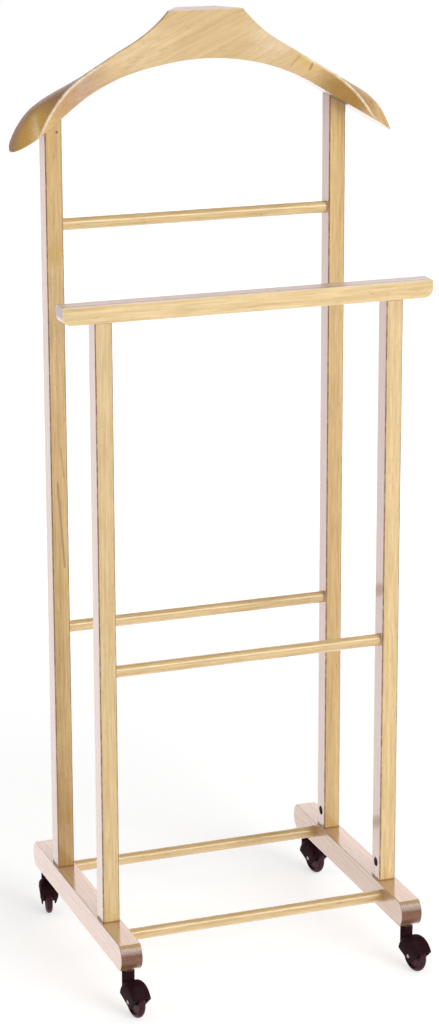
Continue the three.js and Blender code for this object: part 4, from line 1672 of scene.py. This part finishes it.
        # How far the ridge's painted highlight has come in here; its round widens with it.
        shining = smooth(distance, self.shine_start, self.wing_start)
        # The painted highlight that the ridge carries here, kept in the edge attribute.
        worn = shining * (1.0 - smooth(distance, self.shine_end, self.shine_end + self.shine_fade))
        foot, heel = (front, floor), (rear, floor)
        clear = self.FACE_CLEAR * softness
        raw = [foot, beside(first, foot, clear), first, *top, last, beside(last, heel, clear), heel]
        corners = {0: self.FOOT_ROUND, 2: self.RIDGE_ROUND + self.SHINING_ROUND * shining,
                   len(raw) - 3: self.REAR_ROUND, len(raw) - 1: self.FOOT_ROUND}
        points: list[Point] = []
        shines: list[float] = []
        for i, point in enumerate(raw):
            made = [point]
            if i in corners:
                made = fillet(raw[i - 1], point, raw[(i + 1) % len(raw)], corners[i] * softness)
            points += made
            shines += [worn if i == 2 else 0.0] * len(made)
        return points, shines


@dataclass(frozen=True)
class JacketHanger:
    """The carved jacket hanger, lofted along its length.

    Attributes:
        shape: The rule of its form.
        back: Depth of the middle of the rear uprights.
        stations: Number of sections.
        top_steps: Number of points over the top of each.
        softness: Reach of its sanded edges.
    """

    shape: HangerShape
    back: float
    stations: int = 180
    top_steps: int = 24
    softness: float = 1.5 * MM

    # Size of the slab that is cut off above the flat top, in metres.
    SLAB = 0.3

    def loft(self) -> bpy.types.Mesh:
        """Returns the lofted body, before its flat top is cut."""
        built = bmesh.new()
        layer = built.verts.layers.float.new("edge")
        rings = []
        for i in range(1, self.stations):
            x = self.shape.half_length * math.sin((i / self.stations - 0.5) * math.pi)
            points, shines = self.shape.section(abs(x), self.top_steps, self.softness)
            ring = [built.verts.new((x, self.back + y, z)) for y, z in points]
            # The ridge's painted highlight goes into the edge attribute.
            for vert, shine in zip(ring, shines):
                vert[layer] = shine
            rings.append(ring)
        count = len(rings[0])
        for first, second in zip(rings, rings[1:]):
            for j in range(count):
                k = (j + 1) % count
                built.faces.new((first[j], second[j], second[k], first[k]))
        for side, ring in ((-1, rings[0]), (1, rings[-1])):
            end = self.shape.half_length
            tip = built.verts.new((side * end, self.back - self.shape.tip_back, self.shape.underside(end)))
            for j in range(count):
                built.faces.new((tip, ring[j], ring[(j + 1) % count]))
        return WORKSHOP.mesh(built)

    def build(self) -> None:
        """Builds the hanger in place of its node."""
        reach, top = self.SLAB, self.shape.top
        slab = WORKSHOP.block(Vector((-reach, -reach, top)), Vector((reach, reach, top + reach)))
        made = WORKSHOP.work(self.loft(), slab, Carving.CUT)
        seams = (Seam(0.1155, 1.0334, 0.92, 1.0185, share=0.4),
                 Seam(0.1313, 1.0243, 0.46, 1.0135, 0.9 * MM, 0.55))
        # Hanger patches: darker ones partly its own tone and partly painted shade, paler bluer ones painted
        # sheen.
        tone_and_light_patches = (ToneAndLightPatch((-0.160, 1.015), (0.060, 0.050), (0.84, 0.77, 0.96)),
                  ToneAndLightPatch((-0.085, 1.055), (0.060, 0.045), (1.20, 1.28, 1.45)),
                  ToneAndLightPatch((0.085, 1.060), (0.045, 0.040), (1.08, 1.18, 1.42)),
                  ToneAndLightPatch((0.130, 1.035), (0.032, 0.035), (0.98, 0.90, 0.62)),
                  ToneAndLightPatch((0.163, 0.988), (0.055, 0.040), (0.62, 0.52, 0.32)),
                  ToneAndLightPatch((0.195, 1.006), (0.040, 0.022), (1.22, 1.18, 1.12)))
        # Painted light and shade by facing: darker where the hanger turns up and to the left, paler up and to
        # the right.
        facing_light_paints = (FacingLightPaint((-0.75, 0.35, 0.55), 0.60, 0.98, srgb(182, 138, 118), 0.75),
                    FacingLightPaint((0.75, 0.35, 0.55), 0.50, 0.90, srgb(244, 218, 182), 0.75))
        # A cream painted highlight along the ridge, where the loft marks its edge attribute.
        finish = BeechFinish("Beech jacket hanger", Axis.X, 9.7, tone=0.965, light=srgb(241, 210, 160),
                             deep=srgb(206, 170, 114), edge=srgb(255, 238, 208), painted_edge_share=0.9, tilt=0.42,
                             rings=0.65, side_figure_and_sheen=0.0, seams=seams, tone_and_light_patches=tone_and_light_patches, facing_light_paints=facing_light_paints,
                             lacquer_roughness=0.28, body_gloss=0.15, end_from=0.2, end_to=0.62,
                             end_light=srgb(246, 200, 118), end_deep=srgb(190, 142, 70), end_lacquer=0.06,
                             end_gleam_share=0.0, underside_lacquer=1.0)
        show("jacket_hanger_beech", made, finish.material(), "hanger")


@dataclass(frozen=True)
class CasterShape:
    """Sizes of a caster, in its own frame: X along the trail, Y along the axle, Z up from the floor.

    Attributes:
        trail: How far the axle trails behind the stem.
        wheel_radius, wheel_width: Radius and width of the tread.
        web_width, rim_depth: Thickness of the web and depth of the rim.
        hub_radius, bore_radius, gap: Radius of the hub and of its bore, and the gap on each side of it.
        slot_width, fork_width: Width of the slot that the wheel runs in, and of the fork.
        hood_radius, hood_round, hood_clearance: The hood's radius, its rounded edges and its gap inside.
        lip_angle: Angle of the hood's lip over the axle's level, in degrees.
        cheek_rear: Height over the axle at which the cheeks' rear edges begin.
        cheek_front, tip, tip_radius: Start of their front edges and their tips, along the trail and upwards.
        taper_top, taper: Height under which the cheeks grow thinner, and by how much.
        neck_radius, neck_top: Radius and top of the neck round the stem.
        axle_radius, axle_proud: Radius of the axle, and how far its domed ends stand out.
    """

    trail: float = 18 * MM
    wheel_radius: float = 20 * MM
    wheel_width: float = 8 * MM
    web_width: float = 4 * MM
    rim_depth: float = 5 * MM
    hub_radius: float = 5.5 * MM
    bore_radius: float = 2.8 * MM
    slot_width: float = 14 * MM
    fork_width: float = 22 * MM
    hood_radius: float = 22.5 * MM
    hood_round: float = 6 * MM
    hood_clearance: float = 1 * MM
    lip_angle: float = 26.0
    cheek_rear: float = 8 * MM
    cheek_front: Point = (31 * MM, 22 * MM)
    tip: Point = (20 * MM, 11.5 * MM)
    tip_radius: float = 3.4 * MM
    taper_top: float = 28 * MM
    taper: float = 2.6 * MM
    neck_radius: float = 7.25 * MM
    neck_top: float = 50.7 * MM
    axle_radius: float = 2.5 * MM
    axle_proud: float = 0.8 * MM
    gap: float = 0.3 * MM

    @property
    def hub(self) -> Vector:
        """The middle of the wheel."""
        return Vector((self.trail, 0.0, self.wheel_radius))


@dataclass(frozen=True)
class Caster:
    """One hooded swivel caster.

    Attributes:
        corner: The corner of the stand that it carries.
        shape: Its sizes.
        plastic: Finish of the hood.
        tread: Finish of the wheel.
        steel: Finish of the axle.
    """

    corner: Corner
    shape: CasterShape
    plastic: bpy.types.Material
    tread: bpy.types.Material
    steel: bpy.types.Material

    # Facets round the hood and the wheel, and round the axle.
    FACETS = 96
    AXLE_FACETS = 40
    # Chords of the hood's edges, the cheeks' tips, the tread and the axle's domes.
    HOOD_STEPS = 10
    TIP_STEPS = 10
    TREAD_STEPS = 18
    DOME_STEPS = 6
    # How far the outline that trims the fork stands off the forms that it leaves whole.
    MARGIN = 0.5 * MM
    # How far that outline is pushed either way, and where the cheeks' cutters start and end, in metres.
    HALF_PUSH = 0.03
    CUTTER = (-0.05, 0.09)
    # Share of the axle's radius that the box of a turned axle adds to its half length.
    BOX_SHARE = 0.2

    def placing(self) -> Matrix:
        """Returns the matrix that carries the caster's own frame to its place at rest."""
        joints = {joint["name"]: joint for joint in frame["joints"]}
        stem = Vector(joints[f"swivel_{self.corner.value}"]["pos_m"])
        axle = Vector(joints[f"roll_{self.corner.value}"]["axis"])
        heading = math.atan2(-axle.x, axle.y)
        return Matrix.Translation((stem.x, stem.y, 0.0)) @ Matrix.Rotation(heading, 4, "Z")

    def drum(self) -> bpy.types.Mesh:
        """Returns the rounded drum that the hood is cut from."""
        s = self.shape
        half = s.fork_width / 2 - s.hood_round
        centre = s.hood_radius - s.hood_round
        left = [(centre + s.hood_round * math.sin(a), -half - s.hood_round * math.cos(a))
                for a in (math.pi / 2 * i / self.HOOD_STEPS for i in range(self.HOOD_STEPS + 1))]
        right = [(r, -h) for r, h in reversed(left)]
        profile = [(0.0, -s.fork_width / 2), *left, *right, (0.0, s.fork_width / 2)]
        return WORKSHOP.turned(profile, Axis.Y, s.hub, self.FACETS)

    def side_outline(self) -> list[Point]:
        """Returns the outline of hood, neck and cheeks seen along the axle."""
        s = self.shape
        reach = s.hood_radius + self.MARGIN
        turn = math.radians(s.lip_angle)
        lip = (s.trail + reach * math.cos(turn), s.wheel_radius + reach * math.sin(turn))
        rear = (-s.neck_radius - self.MARGIN, s.wheel_radius + s.cheek_rear)
        tip = (s.tip[0], s.tip[1] + s.tip_radius)
        rear_turn, front_turn = (math.degrees(math.atan2(end[1] - start[1], end[0] - start[0])) - 90
                                 for start, end in ((rear, tip), (tip, s.cheek_front)))
        round_tip = arc(tip, s.tip_radius, rear_turn, front_turn, self.TIP_STEPS)
        return [(rear[0], s.neck_top), rear, *round_tip, s.cheek_front, lip, (lip[0], s.neck_top)]

    def cheek_taper(self, side: Side) -> bpy.types.Mesh:
        """Makes the cutter that thins one cheek towards its tip.

        Args:
            side: The cheek's side along the axle.

        Returns:
            The cutter.
        """
        s = self.shape
        half = s.fork_width / 2
        outline = [(side.value * y, z) for y, z in (
            (half, s.taper_top), (half - s.taper, s.tip[1]), (half - s.taper, -MM), (half + MM, -MM),
            (half + MM, s.taper_top))]
        return WORKSHOP.prism(outline, Axis.X, *self.CUTTER)

    def hood(self) -> bpy.types.Mesh:
        """Returns the hooded fork with its neck."""
        s = self.shape
        neck = WORKSHOP.drill(Axis.Z, Vector(), s.neck_radius, s.wheel_radius, s.neck_top)
        made = WORKSHOP.work(self.drum(), neck, Carving.JOIN)
        trim = WORKSHOP.prism(self.side_outline(), Axis.Y, -self.HALF_PUSH, self.HALF_PUSH)
        made = WORKSHOP.work(made, trim, Carving.KEEP)
        half = s.slot_width / 2
        slot = WORKSHOP.drill(Axis.Y, s.hub, s.wheel_radius + s.hood_clearance, -half, half, self.FACETS)
        for tool in (slot, *map(self.cheek_taper, Side)):
            made = WORKSHOP.work(made, tool, Carving.CUT)
        return made

    def wheel(self) -> bpy.types.Mesh:
        """Returns the wheel with its round tread, sunk web and hub."""
        s = self.shape
        hub = s.slot_width / 2 - s.gap
        web, bead = s.web_width / 2, s.wheel_width / 2
        rim = s.wheel_radius - s.rim_depth
        tread = arc((s.wheel_radius - bead, 0.0), bead, -90, 90, self.TREAD_STEPS)
        profile = [(s.bore_radius, -hub), (s.hub_radius, -hub), (s.hub_radius, -web), (rim, -web), *tread,
                   (rim, web), (s.hub_radius, web), (s.hub_radius, hub), (s.bore_radius, hub),
                   (s.bore_radius, -hub)]
        return WORKSHOP.turned(profile, Axis.Y, s.hub, self.FACETS)

    def axle(self) -> bpy.types.Mesh:
        """Returns the axle with its two domed ends."""
        s = self.shape
        low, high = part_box(f"caster_axle_{self.corner.value}")
        half = math.hypot(high.x - low.x, high.y - low.y) / 2 - s.axle_radius * self.BOX_SHARE
        half = min(half, s.fork_width / 2 + s.axle_proud - s.taper / 2)
        dome = [(s.axle_radius * math.cos(a), half - s.axle_proud + s.axle_proud * math.sin(a))
                for a in (math.pi / 2 * i / self.DOME_STEPS for i in range(self.DOME_STEPS))]
        near = [(r, -h) for r, h in reversed(dome)]
        return WORKSHOP.turned([(0.0, -half), *near, *dome, (0.0, half)], Axis.Y, s.hub, self.AXLE_FACETS)

    def build(self) -> None:
        """Builds the caster's visible pieces in place of their nodes."""
        corner = self.corner.value
        place = self.placing()
        pieces = (
            ("hood", self.hood(), self.plastic, "caster_fork", "fork", "caster_plastic"),
            ("wheel", self.wheel(), self.tread, "caster_wheel", "wheel", "tread"),
            ("axle_pin", self.axle(), self.steel, "caster_axle", "fork", "steel"),
        )
        for name, made, finish, node, body, slot in pieces:
            made.transform(place)
            show(f"{name}_{corner}", made, finish, f"{node}_{corner}", f"{body}_{corner}")


class BeechFrames:
    """The two wooden frames on their rails, with the hanger and the bar."""

    def __init__(self) -> None:
        """Chooses the boards."""
        knot = Knot((-0.1660, 0.0862, 0.9585), 2.4 * MM)
        # Painted shade at the foot of the rear left board, where it stands in the rail.
        shade = ToneAndLightPatch((-0.170, 0.080), (0.100, 0.220), (0.80, 0.72, 0.56))
        streaks = (Seam(-0.1724, 0.556, -0.068, 0.452, 0.7 * MM, 0.55, top=0.561),
                   Seam(-0.1682, 0.600, -0.090, 0.560, 0.5 * MM, 0.4, top=0.602))
        marks = {"knots": (knot,), "tone_and_light_patches": (shade,), "seams": streaks}
        blond = {"light": BLOND, "deep": BLOND_DEEP}
        # Each board's painted foot light lifts or darkens its lower end to stand for the light falling there.
        boards = (
            (Side.LEFT, True, 1.1, {"tone": 0.95, "painted_foot_light": 0.92, "flecked": 0.6, **marks}),
            (Side.RIGHT, True, 2.4, {"tone": 1.0, "painted_foot_light": 1.03, "side_figure_and_sheen": 0.8}),
            (Side.LEFT, False, 3.2, {"tone": 0.94, "painted_foot_light": 1.06, **blond}),
            (Side.RIGHT, False, 5.8, {"tone": 0.99, "painted_foot_light": 1.1, "side_figure_and_sheen": 0.8, **blond}),
        )
        self.uprights = []
        for side, rear, seed, looks in boards:
            name = f"Beech upright {'rear' if rear else 'front'} {side.label}"
            self.uprights.append(Upright(side, rear, BeechFinish(name, Axis.Z, seed, **looks)))
        self.rails = (FootRail(Side.LEFT, 7.4), FootRail(Side.RIGHT, 8.9))

    def build(self) -> None:
        """Builds every wooden piece."""
        for part in (*self.rails, *self.uprights, TrouserBar(), TurnedRods()):
            part.build()
        JacketHanger(HangerShape(), centre_of("upright_rear_left").y).build()
        pins = [f"{kind}_pin_{side.label}" for kind in ("hanger", "bar") for side in Side]
        dress(pins, BeechFinish("Bare beech pins", Axis.Z, 4.9, tone=0.9, side_figure_and_sheen=0.0).material())


class Hardware:
    """The bolts, barrel nuts, caster sleeves and casters."""

    def __init__(self) -> None:
        """Mixes the finishes that the hardware shares."""
        moulded = (MouldedFinish("Dark moulded plastic", srgb(44, 22, 28), srgb(92, 62, 70), 0.42),
                   MouldedFinish("Rolled tread", srgb(62, 36, 43), srgb(112, 78, 84), 0.34, 0.4))
        plated = (PlatedFinish("Bright plated steel", srgb(164, 148, 150), srgb(112, 98, 100), 0.36),
                  PlatedFinish("Dull plated steel", srgb(92, 84, 80), srgb(56, 50, 48), 0.42))
        self.plastic, self.tread = (finish.material() for finish in moulded)
        self.steel, self.dark_steel = (finish.material() for finish in plated)

    def build(self) -> None:
        """Dresses the hardware and builds the casters."""
        spots = [f"{end}_{side.label}" for end in ("front", "rear") for side in Side]
        kept = {"foot_bolt": self.dark_steel, "barrel_nut": self.dark_steel,
                "caster_socket": self.dark_steel, "caster_stem": self.steel}
        for kind, finish in kept.items():
            dress([f"{kind}_{spot}" for spot in spots], finish)
        for corner in Corner:
            Caster(corner, CasterShape(), self.plastic, self.tread, self.steel).build()


@dataclass(frozen=True)
class SoftBox:
    """A rectangular studio lamp.

    Attributes:
        name: The lamp's name.
        place: Where it hangs.
        width: Its width.
        height: Its height.
        radiance: How bright its face is, with 1 for a white that just clips.
        lights: Whether it lights matt surfaces.
        mirrored: Whether gloss shows it.
    """

    name: str
    place: Place
    width: float
    height: float
    radiance: float
    lights: bool = True
    mirrored: bool = True

    def build(self, target: Vector) -> None:
        """Hangs the lamp.

        Args:
            target: The point that it faces.
        """
        data = bpy.data.lights.new(self.name, "AREA")
        data.shape = "RECTANGLE"
        data.size = self.width
        data.size_y = self.height
        data.energy = self.radiance * math.pi * self.width * self.height
        lamp = held(data, self.name)
        lamp.visible_diffuse = self.lights
        lamp.visible_glossy = self.mirrored
        lamp.location = self.place
        lamp.rotation_euler = (target - Vector(self.place)).to_track_quat("-Z", "Y").to_euler()


@dataclass(frozen=True)
class Studio:
    """The plain white studio and its camera.

    Attributes:
        camera_place: Where the camera stands.
        yaw: Its turn from +Y towards +X, in degrees.
        pitch: How far it looks down, in degrees.
        roll: Its roll, in degrees.
        focal_pixels: Focal length in pixels of the picture.
        principal: The picture point that the lens looks at.
        picture: Width and height of the picture.
        ambient: Strength of the even light from under the backdrop's top.
        upper_ambient: Share of it that comes from above that.
        backdrop: How bright the backdrop is where the lacquer reflects it.
        ceiling: How bright the dark parts of the studio are beside it.
        floor_size: Half the width of the floor.
        floor_colour: Its own colour.
        floor_glow: How much the floor is lifted towards white for the camera, near the stand.
        far_glow: How much it is lifted farther out.
        glow_radii: Squares of the distances between which that changes.
        floor_backdrop: How bright the floor behind the stand is where the lacquer reflects it.
        floor_front: How bright it is in front of the stand.
        glow_tint: Colour of what the lacquer reflects.
        target: The point that the lamps face.
        lamps: The lamps.
    """

    camera_place: Place = (-1.12564, -3.05576, 1.47452)
    yaw: float = 21.298
    pitch: float = 15.882
    roll: float = 0.165
    focal_pixels: float = 2975.68
    principal: Point = (278.95, 494.49)
    picture: tuple[int, int] = (439, 1024)
    ambient: float = 0.52
    upper_ambient: float = 0.6
    backdrop: float = 2.9
    ceiling: float = 0.08
    floor_size: float = 6.0
    floor_colour: Colour = (0.82, 0.82, 0.82)
    floor_glow: float = 0.57
    far_glow: float = 0.8
    glow_radii: Point = (0.12, 2.5)
    floor_backdrop: float = 1.45
    floor_front: float = 0.7
    glow_tint: Colour = (1.0, 0.91, 0.955)
    target: Place = (0.0, 0.0, 0.55)
    lamps: tuple[SoftBox, ...] = (
        SoftBox("Key softbox", (1.45, -3.9, 1.6), 2.3, 1.9, 5.75, mirrored=False),
        SoftBox("Gloss softbox", (1.4, -2.9, 3.1), 2.3, 1.4, 4.6, lights=False),
        SoftBox("Fill softbox", (0.8, -3.2, 2.9), 2.5, 2.5, 1.2),
    )

    # The backdrop's edges, as spans of a direction's height or depth: its top, its side towards the front
    # with the brightness past it, and its foot with the brightness under it.
    TOP = (0.46, 0.56)
    NEAR = (-0.25, 0.15, 0.12)
    FOOT = (0.22, 0.38, 0.3)
    # Places along Y between which the floor's reflection turns from its front to its backdrop.
    FLOOR_TURN = (-0.4, -0.1)

    def camera(self) -> None:
        """Stands the camera at the photograph's place and framing."""
        yaw, pitch, roll = (math.radians(a) for a in (self.yaw, self.pitch, self.roll))
        ahead = Vector((math.sin(yaw) * math.cos(pitch), math.cos(yaw) * math.cos(pitch), -math.sin(pitch)))
        right = Vector((math.cos(yaw), -math.sin(yaw), 0.0))
        up = right.cross(ahead)
        rolled_right = math.cos(roll) * right + math.sin(roll) * up
        rolled_up = -math.sin(roll) * right + math.cos(roll) * up
        data = bpy.data.cameras.new("Studio camera")
        long_side = max(self.picture)
        data.lens = self.focal_pixels * data.sensor_width / long_side
        data.shift_x = (self.picture[0] / 2 - self.principal[0]) / long_side
        data.shift_y = (self.principal[1] - self.picture[1] / 2) / long_side
        stand = held(data, "Studio camera")
        turn = Matrix((rolled_right, rolled_up, -ahead)).transposed()
        stand.matrix_world = Matrix.Translation(self.camera_place) @ turn.to_4x4()
        bpy.context.scene.camera = stand

    def world(self) -> None:
        """Makes the surroundings: white to the camera, a bright backdrop and a dark studio to the lacquer."""
        world = bpy.data.worlds.new("White studio")
        world.use_nodes = True
        world.node_tree.nodes.clear()
        sketch = NodeSketch(world.node_tree)
        _, y, z = sketch.split(sketch.add("ShaderNodeTexCoord").outputs["Generated"])
        low = sketch.remap(z, *self.TOP, 1.0, 0.0, smoothly=True)
        behind = sketch.remap(y, *self.NEAR, 1.0, smoothly=True)
        rising = sketch.remap(z, *self.FOOT, 1.0, smoothly=True)
        lit = sketch.times(sketch.times(low, behind), rising)
        reflected = sketch.remap(lit, 0.0, 1.0, self.ceiling, self.backdrop)
        even = sketch.remap(low, 0.0, 1.0, self.upper_ambient * self.ambient, self.ambient)
        strength = self.by_ray(sketch, 1.0, reflected, even)
        glow = sketch.add("ShaderNodeBackground", self.tint(sketch), strength)
        sketch.add("ShaderNodeOutputWorld", glow.outputs[0])
        bpy.context.scene.world = world

    def tint(self, sketch: NodeSketch) -> Socket:
        """Returns the tint of what the lacquer reflects, and white for every other ray."""
        glossy = sketch.add("ShaderNodeLightPath").outputs["Is Glossy Ray"]
        return sketch.blend(glossy, (1.0, 1.0, 1.0), self.glow_tint)

    @staticmethod
    def by_ray(sketch: NodeSketch, seen: object, reflected: object, even: object) -> Socket:
        """Picks a value by how the ray came: seen by the camera, reflected, or as even light.

        Args:
            sketch: The tree's sketch.
            seen: The value for the camera.
            reflected: The value for reflections.
            even: The value for every other ray.

        Returns:
            The picked value.
        """
        path = sketch.add("ShaderNodeLightPath")
        camera = sketch.maths("MAXIMUM", path.outputs["Is Camera Ray"], path.outputs["Is Transmission Ray"])
        value = sketch.remap(path.outputs["Is Glossy Ray"], 0.0, 1.0, even, reflected)
        return sketch.remap(camera, 0.0, 1.0, value, seen)

    def floor(self) -> None:
        """Lays the pale floor, which keeps the shadow."""
        built = bmesh.new()
        bmesh.ops.create_grid(built, x_segments=1, y_segments=1, size=self.floor_size)
        plane = bpy.data.meshes.new("studio_floor")
        built.to_mesh(plane)
        built.free()
        material, sketch, shader = start_material("Pale floor")
        x, y, _ = sketch.split(sketch.add("ShaderNodeTexCoord").outputs["Object"])
        behind = sketch.remap(y, *self.FLOOR_TURN, self.floor_front, self.floor_backdrop, smoothly=True)
        square = sketch.plus(sketch.times(x, x), sketch.times(y, y))
        seen = sketch.remap(square, *self.glow_radii, self.floor_glow, self.far_glow, smoothly=True)
        sketch.fit(shader, {
            "Base Color": (*self.floor_colour, 1.0),
            "Roughness": 0.9,
            "Specular IOR Level": 0.0,
            "Emission Color": self.tint(sketch),
            "Emission Strength": self.by_ray(sketch, seen, behind, 0.0),
        })
        plane.materials.append(material)
        floor = held(plane, "studio_floor")

    def build(self) -> None:
        """Builds the studio."""
        bpy.context.scene.view_settings.view_transform = "Standard"
        self.camera()
        self.world()
        self.floor()
        for lamp in self.lamps:
            lamp.build(Vector(self.target))


def main() -> None:
    """Builds the studio and every sub-assembly."""
    logging.basicConfig(level=logging.INFO, format="%(name)s: %(message)s")
    Studio().build()
    BeechFrames().build()
    Hardware().build()


if __name__ == "__main__":
    main()
